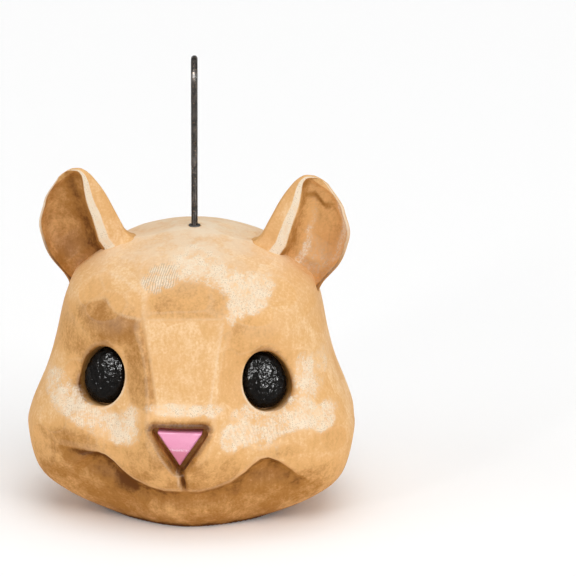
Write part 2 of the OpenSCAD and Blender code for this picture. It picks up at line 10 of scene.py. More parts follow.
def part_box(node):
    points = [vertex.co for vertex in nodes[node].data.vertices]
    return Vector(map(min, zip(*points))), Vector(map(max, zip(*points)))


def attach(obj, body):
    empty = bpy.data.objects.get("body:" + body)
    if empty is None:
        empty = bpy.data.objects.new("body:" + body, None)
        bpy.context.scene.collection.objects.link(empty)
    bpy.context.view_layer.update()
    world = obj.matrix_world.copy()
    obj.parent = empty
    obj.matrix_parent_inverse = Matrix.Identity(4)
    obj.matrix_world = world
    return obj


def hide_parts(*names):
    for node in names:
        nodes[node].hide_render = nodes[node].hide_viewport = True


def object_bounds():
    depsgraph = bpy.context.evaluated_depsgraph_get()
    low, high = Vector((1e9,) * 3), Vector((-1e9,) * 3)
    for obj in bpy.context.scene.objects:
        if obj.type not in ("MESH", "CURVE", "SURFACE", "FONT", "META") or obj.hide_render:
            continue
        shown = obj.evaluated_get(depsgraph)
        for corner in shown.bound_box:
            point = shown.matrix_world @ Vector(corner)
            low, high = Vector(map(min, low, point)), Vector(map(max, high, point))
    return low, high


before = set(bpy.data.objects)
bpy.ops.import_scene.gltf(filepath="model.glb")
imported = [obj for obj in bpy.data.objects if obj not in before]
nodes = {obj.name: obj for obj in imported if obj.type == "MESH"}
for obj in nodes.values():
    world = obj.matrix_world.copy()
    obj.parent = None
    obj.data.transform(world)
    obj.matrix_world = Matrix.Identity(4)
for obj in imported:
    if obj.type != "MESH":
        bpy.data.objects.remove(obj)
cadLow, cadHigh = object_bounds()
mm = 0.001
boxGap = 0.02  # how far every carved piece stays inside the CAD's box, in mm
lowest, highest = np.array(cadLow) / mm + boxGap, np.array(cadHigh) / mm - boxGap

# small helpers


def onlySelect(obj):
    bpy.ops.object.select_all(action="DESELECT")
    obj.select_set(True)
    bpy.context.view_layer.objects.active = obj


def applyModifiers(obj):
    onlySelect(obj)
    for modifier in list(obj.modifiers):
        bpy.ops.object.modifier_apply(modifier=modifier.name)


def meshPiece(name, points, faces):  # points in mm
    mesh = bpy.data.meshes.new(name)
    mesh.from_pydata((np.asarray(points, float) * mm).tolist(), [], faces)
    mesh.update()
    obj = bpy.data.objects.new(name, mesh)
    bpy.context.scene.collection.objects.link(obj)
    return obj


def pointsOf(obj):  # in mm
    co = np.zeros(len(obj.data.vertices) * 3)
    obj.data.vertices.foreach_get("co", co)
    return co.reshape(-1, 3) / mm


def setPoints(obj, points):
    obj.data.vertices.foreach_set("co", (np.asarray(points) * mm).ravel())
    obj.data.update()


def normalsOf(obj):
    no = np.zeros(len(obj.data.vertices) * 3)
    obj.data.vertex_normals.foreach_get("vector", no)
    return no.reshape(-1, 3)


def paintMask(obj, name, values):
    layer = obj.data.attributes.get(name) or obj.data.attributes.new(name, "FLOAT", "POINT")
    layer.data.foreach_set("value", np.asarray(values, np.float32))


def smoothBy(obj, degrees):
    onlySelect(obj)
    bpy.ops.object.shade_smooth_by_angle(angle=math.radians(degrees))


def setMaterial(obj, material):
    obj.data.materials.clear()
    obj.data.materials.append(material)


def cutAway(obj, cutter):
    cut = obj.modifiers.new("cut", "BOOLEAN")
    cut.operation = "DIFFERENCE"
    cut.object = cutter
    cut.solver = "EXACT"
    applyModifiers(obj)
    bpy.data.objects.remove(cutter)


def swell(x, z, cx, cz, rx, rz):
    return np.exp(-((x - cx) / rx) ** 2 - ((z - cz) / rz) ** 2)


def softStep(d, soft):
    return 1 / (1 + np.exp(-np.clip(d / soft, -30, 30)))


def easedMax(a, b, soft):
    return 0.5 * (a + b + np.sqrt((a - b) ** 2 + 4 * soft * soft))


def bell(d, width):  # 1 at d = 0, fading out on both sides
    return np.exp(-(d / width) ** 2)


def fade(d, reach):  # 1 up to d = 0, fading out beyond
    return np.exp(-np.clip(d, 0, 99) / reach)


def turned(u, v, angle):
    return u * math.cos(angle) - v * math.sin(angle), u * math.sin(angle) + v * math.cos(angle)


def insideOf(corners, x, z):  # how far inside an outline on the face, below 0 outside
    gap, inside = np.full(x.shape, 999.0), np.zeros(x.shape, bool)
    for (x0, z0), (x1, z1) in zip(corners, corners[1:] + corners[:1]):
        ex, ez = x1 - x0, z1 - z0
        t = np.clip(((x - x0) * ex + (z - z0) * ez) / (ex * ex + ez * ez), 0, 1)
        gap = np.minimum(gap, np.hypot(x - x0 - t * ex, z - z0 - t * ez))
        inside ^= ((z0 > z) != (z1 > z)) & (x < x0 + ex * (z - z0) / (ez or 1))
    return np.where(inside, gap, -gap)


# the carved head: one form, from which both shells are made

head = {
    "height": 130.5, "faceDepth": 55.0, "backDepth": 56.0, "wall": 4.5, "midHeight": 60.0, "roundness": 2.2,
    "muzzleOut": 9.0, "bridgeOut": 8.0, "socketIn": 6.5, "innerCorner": 2.6, "lipIn": 2.0, "noseOut": 2.5,
    "bridgeY": 61.0, "bridgeZ": 63.0, "bridgeSlope": 0.27,  # the flat down the nose bridge
    "ringForward": 18.0, "ringEase": 30.0,  # how far the widest ring leans forward below the crown
    "backingOut": 9.0,  # extra wall behind the eyes and the nose
    "backClose": 70.0, "seamY": 32.0, "seamGap": 0.05, "seamEase": 0.35, "lipRound": 2.4,
    "around": 400, "faceRings": 150, "sideRings": 36, "coverRings": 26, "innerRings": 26,
}
halfOutline = np.array([
    [0, 130.5], [31.5, 124.9], [51, 112.8], [57.5, 101], [62, 81], [66, 67],
    [73.05, 49], [74.25, 38], [69.25, 20], [56, 9], [35, 0], [0, -12],
])
smileLine = np.array([
    [0, 22], [7.8, 21.5], [14.8, 22.8], [22.2, 25.7], [28.5, 30.4], [31.6, 33.6],
    [35.5, 36.7], [39, 37.5], [43.3, 35.2], [47.2, 31.6], [52.3, 26.6], [70, 9],
])
smileX, smileTop = 39.0, 37.5
eye = {
    "x": 35.3, "y": 40.5, "z": 71.5, "turn": 28.0, "tilt": 8.0, "lean": 12.0,
    "width": 21.0, "height": 27.5, "taper": 0.12, "thickness": 7.2, "roundness": 2.6, "gap": 0.5,
    "socketDepth": 31.0, "socketFlare": 14.0, "socketEdge": 1.5, "edgeEase": 0.45, "backing": (13.5, 16.75),
    "backBulge": 0.12, "standOut": 0.2, "dentSpacing": 2.1, "dentRadius": 2.0, "dentDepth": 0.3,
}
nose = {
    "y": 60.0, "top": 52.6, "width": 21.4, "height": 16.6, "cut": 2.2, "tilt": 4.0,
    "padShare": 0.9, "padGrow": 0.4, "padDepth": 5.9, "backing": (13, 12),
}


def outlineOf(count):
    last = len(halfOutline) - 1
    mirrored = np.array([-1, 1])
    k = np.arange(count)
    t = np.where(k <= count / 2, k, count - k) / (count / 2) * last
    i = np.minimum(np.floor(t).astype(int), last - 1)
    f = (t - i)[:, None]
    knots = np.vstack([halfOutline[1] * mirrored, halfOutline, halfOutline[last - 1] * mirrored])
    a, b, c, d = knots[i], knots[i + 1], knots[i + 2], knots[i + 3]
    bent = f**2 * (2 * a - 5 * b + 4 * c - d) + f**3 * (3 * b - a - 3 * c + d)
    o = 0.5 * (2 * b + f * (c - a) + bent)
    o[k > count / 2, 0] *= -1
    return o


def insetOutline(o, t):
    d = np.roll(o, -1, 0) - np.roll(o, 1, 0)
    d /= np.linalg.norm(d, axis=1)[:, None]
    return o + t * np.stack([d[:, 1], -d[:, 0]], 1)


def ringY(z):
    return -head["ringForward"] * (1 - np.exp((z - head["height"]) / head["ringEase"]))


def smileZ(x):
    return np.interp(np.abs(x), smileLine[:, 0], smileLine[:, 1])


def noseDistance(x, z):  # from the edge of the nose's triangle, negative inside
    half, top = nose["width"] / 2, nose["top"]
    return -insideOf([(-half, top), (half, top), (0, top - nose["height"])], x, z)


def cleftX(z):
    return np.interp(z, [24.5, 28.5, 34.3], [1.9, 1.3, 0.9])


def carving(x, z):  # how far the face stands forward of a plain one
    ax = np.abs(x)
    d = z - smileZ(x)
    return (
        head["muzzleOut"] * swell(x, z, 0, 42, 28, 24)
        + 2 * swell(ax, z, 15, 37, 12, 11)  # pads beside the cleft
        + head["bridgeOut"] * swell(x, z, 0, 80, 14 + 0.15 * (z - 66), 28)
        - head["socketIn"] * swell(ax, z, eye["x"], eye["z"], 16, 19)
        - head["innerCorner"] * swell(ax, z, 23, 80, 7, 16)
        - head["lipIn"] * swell(x, z, 0, smileZ(x) - 4.5, smileX + 5, 4.5)
        + 3 * swell(ax, z, 40, 100, 24, 13)  # brows
        + 4 * swell(ax, z, 52, 47, 16, 15)  # cheeks
        - 4 * swell(ax, z, smileX, smileTop - 7, 10, 7)  # hollow under each corner of the mouth
        + 4 * softStep(d, 1.2) * bell(x, smileX + 3)  # upper lip
        + 2.5 * softStep(d, 1.0) * swell(ax, z, smileX, smileZ(x), 12, 9)
        + 6 * swell(x, z, 0, 10, 26, 12)  # chin
    )


def foldZ(x):  # the smile's fold, which runs on over the left cheek
    leftFold = np.interp(-x, [36, 39, 45, 58, 66], [36.9, 38, 38.4, 38, 36])
    return np.where(x < -37.5, leftFold, smileZ(x))


def bridgeEdges(z):
    return -11.4 - (z - 62.7) * 0.186, 13.4 + (z - 63.4) * 0.131


def fineCarving(x, z):  # what the knife's point adds to that
    cleft = bell(x - cleftX(z), 1.0) * softStep(z - 23, 0.8) * softStep(38 - z, 0.8)
    bead = bell(noseDistance(x, z) - 3.6, 0.9) * softStep(nose["top"] + 2 - z, 1)
    under = foldZ(x) - z
    depth = np.interp(x, [-64, -54, -34, -20, 0, 22, 40, 50, 58], [0, 0.8, 2.1, 1.7, 1.1, 1.6, 2.3, 1.1, 0])
    crease = depth * softStep(under, 0.8) * fade(under, 5)
    lip = 0.25 * depth * bell(under + 2.2, 2.0)
    leftEdge, rightEdge = bridgeEdges(z)
    flank = 1.5 * softStep(leftEdge - x, 0.35) * fade(leftEdge - x, 9)
    flank += 0.8 * softStep(x - rightEdge, 0.35) * fade(x - rightEdge, 9)
    onBridge = softStep(z - 62, 1.5) * softStep(104 - z, 1.5)
    return -2.0 * cleft + 0.5 * bead - crease + lip - flank * onBridge


def backing(x, z):  # extra wall behind the eyes and the nose
    (eyeWide, eyeTall), (noseWide, noseTall) = eye["backing"], nose["backing"]
    behindEye = np.hypot((np.abs(x) - eye["x"]) / eyeWide, (z - eye["z"]) / eyeTall)
    behindNose = np.hypot(x / noseWide, (z - nose["top"] + nose["height"] / 2 - 2) / noseTall)
    return head["backingOut"] * np.maximum(softStep(1.25 - behindEye, 0.06), softStep(1.25 - behindNose, 0.06))


def onBase(p, t):
    p[..., 2] = np.maximum(p[..., 2], t)
    return p


def faceRings(o, shares, t):
    s = np.asarray(shares)[:, None]
    mid, q = head["midHeight"], head["roundness"]
    x = o[None, :, 0] * s
    z = mid + (o[None, :, 1] - mid) * s
    e = ringY(o[None, :, 1])
    y = e - (head["faceDepth"] + e - t) * (1 - s**q) ** (1 / q)
    y = y + backing(x, z) if t > 0 else y
    y = y - carving(x, z) * np.sqrt(np.maximum(1 - s**4, 0))
    y = easedMax(y, head["bridgeSlope"] * (z - head["bridgeZ"]) - head["bridgeY"] + t, 0.2)
    y = y - head["noseOut"] * swell(x, z, 0, nose["top"] - 3, 15, 9)
    if t == 0:
        y = y - fineCarving(x, z) * np.sqrt(np.maximum(1 - s**4, 0))
    return onBase(np.stack([x, y, z], -1), t)


def sideRings(o, depths, t):  # depths holds y for each ring and column
    mid, q = head["midHeight"], head["roundness"]
    e = ringY(o[None, :, 1])
    g = (1 - np.clip((depths - e) / (head["backClose"] - e), 0, 1) ** q) ** (1 / q)
    return onBase(np.stack([o[None, :, 0] * g, depths, mid + (o[None, :, 1] - mid) * g], -1), t)


def depthsFromRim(o, last, count):  # from the widest ring back to y = last
    e = ringY(o[:, 1])[None, :]
    return e + (last - e) * (np.arange(count)[:, None] + 1) / count


def ringFaces(rows, around, start=0, closed=False):
    faces = []
    for i in range(rows if closed else rows - 1):
        a, b = start + i * around, start + ((i + 1) % rows) * around
        faces += [(a + k, b + k, b + (k + 1) % around, a + (k + 1) % around) for k in range(around)]
    return faces


def quarterSines(count):  # shares of the outline, close together toward its edge
    return np.sin(np.pi / 2 * (np.arange(count) + 1) / count)


around = head["around"]
outline = outlineOf(around)
coverStart, coverEnd = head["seamY"] + head["seamGap"], head["backDepth"] - head["lipRound"]
coverDepths = np.repeat(np.linspace(coverStart, coverEnd, head["coverRings"])[:, None], around, 1)
skin = np.vstack([
    faceRings(outline, quarterSines(head["faceRings"]), 0),
    sideRings(outline, depthsFromRim(outline, head["seamY"], head["sideRings"]), 0),
    sideRings(outline, coverDepths, 0),
])  # rows of rings, from the middle of the face to the back


def gridNormals(grid):
    along = np.roll(grid, -1, 1) - np.roll(grid, 1, 1)
    n = np.cross(along, np.gradient(grid, axis=0))
    n /= np.maximum(np.linalg.norm(n, axis=-1), 1e-9)[..., None]
    return n


# knife cuts: flats sunk a little below the round form, each of its own reach

knifeCuts = [  # x, z, reach, depth, pale rubbing with painted highlight, brown wash with painted shade
    (-2.2, 109.6, 15, 1.5, 0, 0.05), (29, 110.9, 9, 0.9, 1, 0), (-12.6, 120.1, 8, 0.6, 0.9, 0),
    (6.7, 121.4, 9, 0.7, 0.6, 0), (-31.2, 116.1, 11, 0.9, 0, 0.05), (-43.8, 108.3, 9, 0.7, 0, 0.15),
    (43.8, 109.6, 9, 0.7, 0.15, 0), (-37.1, 104.4, 9, 1, 0, 0.35), (31.2, 104.4, 9, 0.8, 0, 0.05),
    (-52, 63.9, 8, 0.7, 0.9, 0), (-40.8, 53.5, 8, 0.6, 1, 0), (-26.7, 50.9, 6, 0.4, 0.9, 0),
    (-60.9, 49.6, 9, 0.8, 0.1, 0.1), (-66.1, 33.9, 10, 1, 0, 0.2), (26.7, 50.9, 6, 0.4, 0.95, 0),
    (37.9, 53.5, 6, 0.3, 0.85, 0), (49.7, 56.1, 8, 0.6, 0.9, 0), (61.6, 56.1, 9, 0.8, 0.7, 0),
    (68.3, 43.1, 10, 0.9, 0, 0), (-35.6, 14.4, 11, 0.9, 0, 0.35), (-54.9, 19.6, 10, 0.9, 0, 0.4),
    (34.9, 14.4, 11, 0.9, 0, 0.2), (54.9, 19.6, 10, 0.9, 0, 0.15), (0, 9.1, 12, 0.7, 0, 0.25),
    (-3, 129.2, 9, 0.6, 0, 0), (-22.3, 126.6, 9, 0.7, 0, 0), (20, 126.6, 9, 0.7, 0, 0),
]
sideCuts = [  # depth and first turn of each row round the sides, then reach and depth of its cuts
    (2, 10, 9, 0.8), (20, 0, 10.5, 0.9), (39, 10, 10, 0.8), (52, 0, 9, 0.5),
]
knifeEnd = 0.07  # sharpness with which a cut ends, more is shorter


def cutFlats(points, centres, normals, reaches, depths):  # how deep the knife went, and which cut it was
    deepest, which = np.zeros(len(points)), np.full(len(points), -1)
    for i, (centre, normal, reach, depth) in enumerate(zip(centres, normals, reaches, depths)):
        away = points - centre
        beyond = np.maximum(np.sqrt((away ** 2).sum(1)) - reach, 0)
        d = away @ normal + depth - knifeEnd * beyond ** 2
        deeper = d > deepest
        deepest[deeper], which[deeper] = d[deeper], i
    return deepest, which


flatSkin, flatNormals = skin.reshape(-1, 3), gridNormals(skin).reshape(-1, 3)
px, py, pz = flatSkin.T
faceCount = head["faceRings"] + head["sideRings"]
cuts = []  # place on the skin, reach, depth, pale rubbing with painted highlight, brown wash with painted shade
for x, z, *values in knifeCuts:
    away = (px - x) ** 2 + (pz - z) ** 2 + np.where(py < 0, 0, 1e6)
    cuts.append((int(away.argmin()), *values))
rng = np.random.default_rng(7)
for y, first, reach, depth in sideCuts:
    for turn in range(first, 360, 20):
        column = round(turn / 360 * around) % around
        row = head["faceRings"] + int(np.abs(skin[head["faceRings"]:, column, 1] - y).argmin())
        if skin[row, column, 2] > 12 and abs(skin[row, column, 2] - 76) > 24:  # none on the base or the waist
            rubbedAndLit = 0.5 if rng.random() < 0.15 else 0
            cuts.append((row * around + column, reach, depth, rubbedAndLit, rng.uniform(0, 0.3)))
places, reaches, depths, paleOf, washAndShadeOf = [list(column) for column in zip(*cuts)]
cutNormals = flatNormals[places]
cutDepth, cutIndex = cutFlats(flatSkin, flatSkin[places], cutNormals, reaches, depths)
paleOf, washAndShadeOf = np.array(paleOf + [0]), np.array(washAndShadeOf + [0])  # the last stands for what isn't cut
toneOf = np.append(rng.uniform(-0.06, 0.06, len(places)), 0)


def eyeDistance(points, side):  # outward from the edge of an eye's egg, along its face
    turn, lean, tilt = [math.radians(eye[key]) for key in ("turn", "lean", "tilt")]
    u, back = turned(points[..., 0] * side - eye["x"], points[..., 1] + eye["y"], -turn)
    v = (points[..., 2] - eye["z"]) * math.cos(tilt) + back * math.sin(tilt)
    u, v = turned(u, v, -lean)
    halfWidth = eye["width"] / 2 * (1 - eye["taper"] * v / (eye["height"] / 2)) + eye["gap"]
    return (np.hypot(u / halfWidth, v / (eye["height"] / 2 + eye["gap"])) - 1) * 12


eyeGap = np.where(py < 10, np.minimum(eyeDistance(flatSkin, 1), eyeDistance(flatSkin, -1)), 99)
keep = np.clip((pz - 0.2) / 2, 0, 1)  # none on the base
way = cutNormals[cutIndex]
onSides = np.arange(len(flatSkin)) >= head["faceRings"] * around
level = way * [1, 0, 1]
level /= np.maximum((level ** 2).sum(1), 0.1)[:, None]
carved = flatSkin - np.where(onSides[:, None], level, way) * (cutDepth * keep)[:, None]
socketEase = eye["edgeEase"] * np.exp(-np.clip(eyeGap, 0, 9) / 0.7) * (eyeGap < 9)
carved = np.clip(carved - flatNormals * socketEase[:, None], lowest, highest).reshape(skin.shape)
print("carved skin:", len(places), "cuts")


skinNormals = gridNormals(carved)
before, after = np.vstack([carved[:1], carved[:-1]]), np.vstack([carved[1:], carved[-1:]])
mean = (np.roll(carved, 1, 1) + np.roll(carved, -1, 1) + before + after) / 4
ridges = ((carved - mean) * skinNormals).sum(-1).ravel()  # above 0 on ridges, below 0 in hollows, in mm

# paint of the head, much of it painted shade and painted highlight: strokes as x, z, half width, half height in
# mm on the face, then amount

paint = {
    # brown wash, mostly painted shade on the left side, round the muzzle and under the smile's fold
    "wash": [
        (-42, 98, 9, 6, 0.1), (-32, 96, 9, 6, 0.12), (-52, 84, 5, 10, 0.12), (22, 88, 5, 14, 0.08),
        (-16, 49, 4, 10, 0.26), (-52, 42, 16, 6, 0.36), (-14, 40, 10, 9, 0.24), (12, 36, 8, 5, 0.14),
        (64, 42, 10, 6, 0.14), (-20, 33, 12, 8, 0.16), (-30, 41, 12, 4, 0.2), (-60, 28, 12, 12, 0.16),
        (58, 26, 12, 10, 0.14), (46, 41, 10, 3, 0.2), (20, 36, 10, 5, 0.12),
    ],
    # pale rubbed patches, partly painted highlight on the upper forehead and the tops of the cheeks
    "pale": [
        (28, 113, 7, 5, 1), (31, 109, 6, 5, 1), (25, 108.5, 5, 6, 1), (22, 103.5, 2.4, 4, 0.9),
        (36, 113, 4, 4, 0.8), (-15, 115, 5, 3.5, 0.8), (-10, 118, 7, 3.6, 0.9), (-2, 121, 7, 4, 0.8),
        (7, 121, 8, 4.4, 0.8), (2, 124, 6, 4, 0.5), (14, 118.5, 6, 4, 0.85), (20, 116, 6, 4, 0.9),
        (-1, 62, 13, 2.8, 0.85), (14, 62, 5, 3, 0.6), (-59, 64, 6, 7, 0.75), (-53, 59, 8, 6, 0.95),
        (-44, 55, 9, 5, 0.85), (-34, 53, 7, 4.6, 0.7), (-27, 50, 7, 6, 0.95), (-38, 49, 6, 3, 0.4),
        (-23, 57, 4.5, 5, 0.6), (54, 74, 4, 9, 0.85), (56, 65, 4.5, 6, 0.75), (23, 49, 4.6, 6, 0.85),
        (60, 74, 3, 8, 0.5), (29, 50.5, 8, 5.4, 0.95), (38, 51.5, 8, 5, 0.9), (48, 54.5, 7, 4.6, 0.8),
        (56, 55.3, 7.5, 5, 0.95), (63, 53.5, 5, 6, 0.85), (50, 61, 6, 4.6, 0.7), (31, 58.5, 8, 4, 0.6),
        (42, 58.5, 7, 3.6, 0.6), (38, 45, 8, 3, 0.45),
    ],
    "hatch": [(-12, 117, 8, 6, 1), (29, 111, 8, 7, 0.45), (-40, 53, 16, 9, 0.5), (35, 50, 16, 7, 0.5)],
    "flats": [  # amount of wash and painted shade, softness of the edge, painted highlight line along it, corners as x, z
        # the left brow and the left flank of the bridge, darkened as painted shade
        (0.47, 0.7, 0.12, [
            (-19.2, 100.2), (-16.1, 89.5), (-13.7, 77.6), (-11.7, 65.9), (-13.6, 59.5), (-23.7, 62.1),
            (-25.6, 69.4), (-26.2, 78.5), (-27.8, 85.7), (-34.7, 89.8), (-42.1, 86.8), (-47, 81.4), (-62, 78),
            (-64, 98), (-52, 101.8), (-46.2, 104.5), (-37.7, 107.5), (-34, 104.4), (-30.8, 102.4),
            (-26.4, 101.3),
        ]),
        (0.2, 0.6, 0.25, [
            (-17.5, 101.3), (-17.5, 107.5), (-14.7, 113.4), (-9.1, 117.2), (-1.1, 119.5), (5.1, 119.8),
            (13.4, 116.9), (18.7, 115.9), (20.2, 111.5), (22.5, 108), (17.8, 102.7),
        ]),
        (0.24, 2.2, 0.1, [
            (18.4, 101.3), (25.2, 105.8), (34.3, 107.7), (44, 107.5), (52, 99.7), (51.1, 90.5), (47.7, 84.3),
            (43.4, 88.4), (37.1, 90.8), (31.1, 87.4), (25.7, 85.8), (20, 90.4),
        ]),
        (0.12, 0.9, 0.25, [
            (-44.3, 113.2), (-37.9, 116.5), (-28.8, 114.9), (-18.7, 110.2), (-18.9, 101.2), (-26, 101.7),
            (-30.9, 103), (-37.7, 108.1), (-46.3, 104.9), (-48.2, 108.3),
        ]),
    ],
}


def stroked(strokes, profile):
    total = np.zeros(len(px))
    for x, z, rx, rz, amount in strokes:
        total = np.maximum(total, amount * profile(((px - x) / rx) ** 2 + ((pz - z) / rz) ** 2))
    return total


def feather(d):
    return np.exp(-d ** 2)


def plateau(d):
    return np.clip((2 - d) / 1.4, 0, 1)


onFace = softStep(8 - py, 3)
below = foldZ(px) - pz  # how far under the smile
# painted shade under the smile's fold: how dark along it, and how far down it reaches
smileDark = np.interp(px, [-66, -56, -44, -34, -24, -10, 0, 12, 26, 42, 52, 60],
                      [0, 0.25, 0.9, 1.45, 1.35, 0.8, 0.55, 0.55, 0.7, 0.96, 0.45, 0])
smileDeep = np.interp(np.abs(px), [0, 20, 36, 60], [5, 7.5, 12, 10])
bridgeLeft, bridgeRight = bridgeEdges(pz)
bridgeTop = softStep(pz - 60, 1.5) * softStep(103 - pz, 2)
noseGap, cleftGap = noseDistance(px, pz), px - cleftX(pz)
eyeSide = np.clip((np.abs(px) - eye["x"]) / 12 + (pz - eye["z"]) / 16, -1, 1)  # 1 on the outer, upper side
wash = stroked(paint["wash"], feather)
lines = np.zeros(len(px))
for amount, softness, line, corners in paint["flats"]:
    within = insideOf(corners, px, pz)
    share = (1 - 0.8 * softStep(np.abs(px) - 46, 5)) * (0.72 + 0.28 * softStep(pz - 86, 6))
    wash += amount * softStep(within, softness) * share
    lines = np.maximum(lines, line * bell(within + 0.3, 0.5) * softStep(44 - np.abs(px), 3))
wash += 0.22 * softStep(36 - pz, 5) * softStep(-below, 1) * softStep(34 - np.abs(px), 5)  # muzzle darker toward its lower edge, painted shade
# painted shade beside the bridge's left edge, under the smile's fold, on the upper outer side of each eye
# socket, round the nose and in the cleft
wash += 0.12 * bridgeTop * softStep(bridgeLeft - px, 0.25) * fade(bridgeLeft - px, 5)
wash += 1.15 * smileDark * softStep(below, 0.3) * np.exp(-(np.clip(below, 0, 99) / smileDeep) ** 1.3)
wash += 0.85 * fade(eyeGap, 1.6) * np.clip(0.25 + eyeSide, 0, 1)
wash += 0.75 * bell(noseGap - 2.6, 1.7)
wash += 0.6 * bell(np.clip(noseGap - 2, 0, 99), 2.6) * (pz > nose["top"])
wash += 0.95 * bell(np.abs(cleftGap), 1.2) * softStep(pz - 23, 0.6) * softStep(38 - pz, 0.6)
wash *= onFace
wash += 0.32 * softStep(25 - pz, 4) + 0.24 * softStep(5 - pz, 2) + 0.9 * softStep(1.7 - pz, 0.6)  # painted shade: jaw darker toward the bottom, darkest at the foot
# painted shade down the left side; each cut's wash, partly painted shade, and its random tone
wash += 0.05 * softStep(-52 - px, 6) + 0.1 * washAndShadeOf[cutIndex] + toneOf[cutIndex]
wash -= 0.3 * softStep(pz - 119, 4) + 0.08 * softStep(px - 30, 10) * softStep(pz - 60, 8)  # painted light: lighter crown and right brow
# painted highlight along ridges above the mouth and along the flats' edges, and a lighter crown
edge = np.clip((ridges - 0.004) / 0.06, 0, 0.12) * softStep(pz - 40, 5)
edge = np.maximum(edge, lines * onFace) + 0.9 * softStep(pz - 123, 4)
for line in (  # painted highlight lines along the bridge, the smile, the nose, the sockets and the cleft
    0.4 * bridgeTop * bell(px - bridgeRight, 0.4),
    0.15 * bell(below + 1.4, 0.9) * softStep(44 - np.abs(px), 3),
    0.3 * bell(noseGap - 4.6, 0.5) * (px < 2) * (pz < nose["top"] + 1),
    0.8 * bell(eyeGap - 0.9, 0.5) * np.clip(-eyeSide, 0, 1),
    0.35 * bell(cleftGap + 2.2, 0.5) * softStep(pz - 23, 0.6) * softStep(37 - pz, 0.6),
):
    edge += onFace * line
skinPaint = {
    "wash": np.clip(wash, 0, 1.2), "edge": np.clip(edge, 0, 1),
    "pale": np.maximum(stroked(paint["pale"], plateau) * onFace, 0.75 * paleOf[cutIndex] * (py > 0)),
    "hatch": stroked(paint["hatch"], plateau) * onFace,
}


def paintFrom(obj, spots, masks, innerWash, reach=0.8):  # walls beyond its reach get innerWash
    tree = KDTree(len(spots))
    for i, p in enumerate(spots.tolist()):
        tree.insert(p, i)
    tree.balance()
    found = [tree.find(p)[1:] for p in pointsOf(obj).tolist()]
    index, gap = [np.array(column) for column in zip(*found)]
    for key, values in masks.items():
        paintMask(obj, key, np.where(gap > reach, innerWash if key == "wash" else 0, values[index]))


def closedShell(outer, inner):  # two sets of rings from a pole to a common mouth
    rows = np.vstack([outer, inner[::-1]])
    points = np.vstack([outer[0].mean(0), rows.reshape(-1, 3), inner[0].mean(0)])
    faces = ringFaces(len(rows), around, 1)
    last = 1 + (len(rows) - 1) * around
    faces += [(0, 1 + k, 1 + (k + 1) % around) for k in range(around)]
    faces += [(last + (k + 1) % around, last + k, len(points) - 1) for k in range(around)]
    return points, faces


def outwards(obj, nearness=1e-6):  # merges doubles, and turns all faces outward
    onlySelect(obj)
    bpy.ops.object.mode_set(mode="EDIT")
    bpy.ops.mesh.select_all(action="SELECT")
    bpy.ops.mesh.remove_doubles(threshold=nearness)
    bpy.ops.mesh.normals_make_consistent(inside=False)
    bpy.ops.object.mode_set(mode="OBJECT")


def atEye(points, side):  # from an eye's own frame into the head's
    p = np.asarray(points, float)
    y, z = turned(p[..., 1], p[..., 2], -math.radians(eye["tilt"]))
    x, y = turned(p[..., 0], y, math.radians(eye["turn"]))
    return np.stack([(x + eye["x"]) * side, y - eye["y"], z + eye["z"]], -1)


def eggAt(u, v, width, height):  # u and v within a circle of radius 1
    wide = width / 2 * u * (1 - eye["taper"] * v)
    return np.stack(turned(wide, height / 2 * v, math.radians(eye["lean"])), 1)


def loft(name, rings):  # closed at both ends
    n = len(rings[0])
    points = np.vstack(rings)
    faces = ringFaces(len(rings), n) + [tuple(range(n))[::-1], tuple(range(len(points) - n, len(points)))]
    obj = meshPiece(name, points, faces)
    outwards(obj)
    return obj


def cylinder(name, radius, low, high, x=0, y=0):
    bpy.ops.object.select_all(action="DESELECT")
    where = (x * mm, y * mm, (low + high) / 2 * mm)
    long = (high - low) * mm
    bpy.ops.mesh.primitive_cylinder_add(vertices=48, radius=radius * mm, depth=long, location=where)
    obj = bpy.context.object
    obj.name = name
    bpy.ops.object.transform_apply(location=True, rotation=True, scale=True)
    return obj


def joined(objects):
    onlySelect(objects[0])
    for obj in objects:
        obj.select_set(True)
    bpy.ops.object.join()
    return objects[0]


innerOutline = insetOutline(outline, head["wall"])
innerFace = np.vstack([
    faceRings(innerOutline, quarterSines(head["innerRings"]), head["wall"]),
    sideRings(innerOutline, depthsFromRim(innerOutline, head["seamY"], 6), head["wall"]),
])
outerFace = carved[:faceCount].copy()
outerFace[-1] -= skinNormals[faceCount - 1] * head["seamEase"]
points, faces = closedShell(outerFace, innerFace)
face = meshPiece("carved_face", points, faces)
outwards(face)


def socketCutter(side):
    turn = np.arange(64) * 2 * np.pi / 64
    ring = eggAt(np.cos(turn), np.sin(turn), eye["width"] + 2 * eye["gap"], eye["height"] + 2 * eye["gap"])
    wide = ring.copy()
    straight, deep = eye["socketEdge"], eye["socketDepth"]  # it opens inward only below its straight edge
    flare = (deep - straight) * math.tan(math.radians(eye["socketFlare"]))
    wide[ring[:, 0] < 0, 0] -= flare
    rings = [np.insert(r, 1, y, axis=1) for r, y in ((ring, 0), (ring, -straight), (wide, -deep))]
    return loft("socket", [atEye(r, side) for r in rings])


def tilted(p):  # from the nose's own frame into the head's
    y, z = turned(p[..., 1], p[..., 2], math.radians(nose["tilt"]))
    return np.stack([p[..., 0], y - nose["y"], z + nose["top"]], -1)


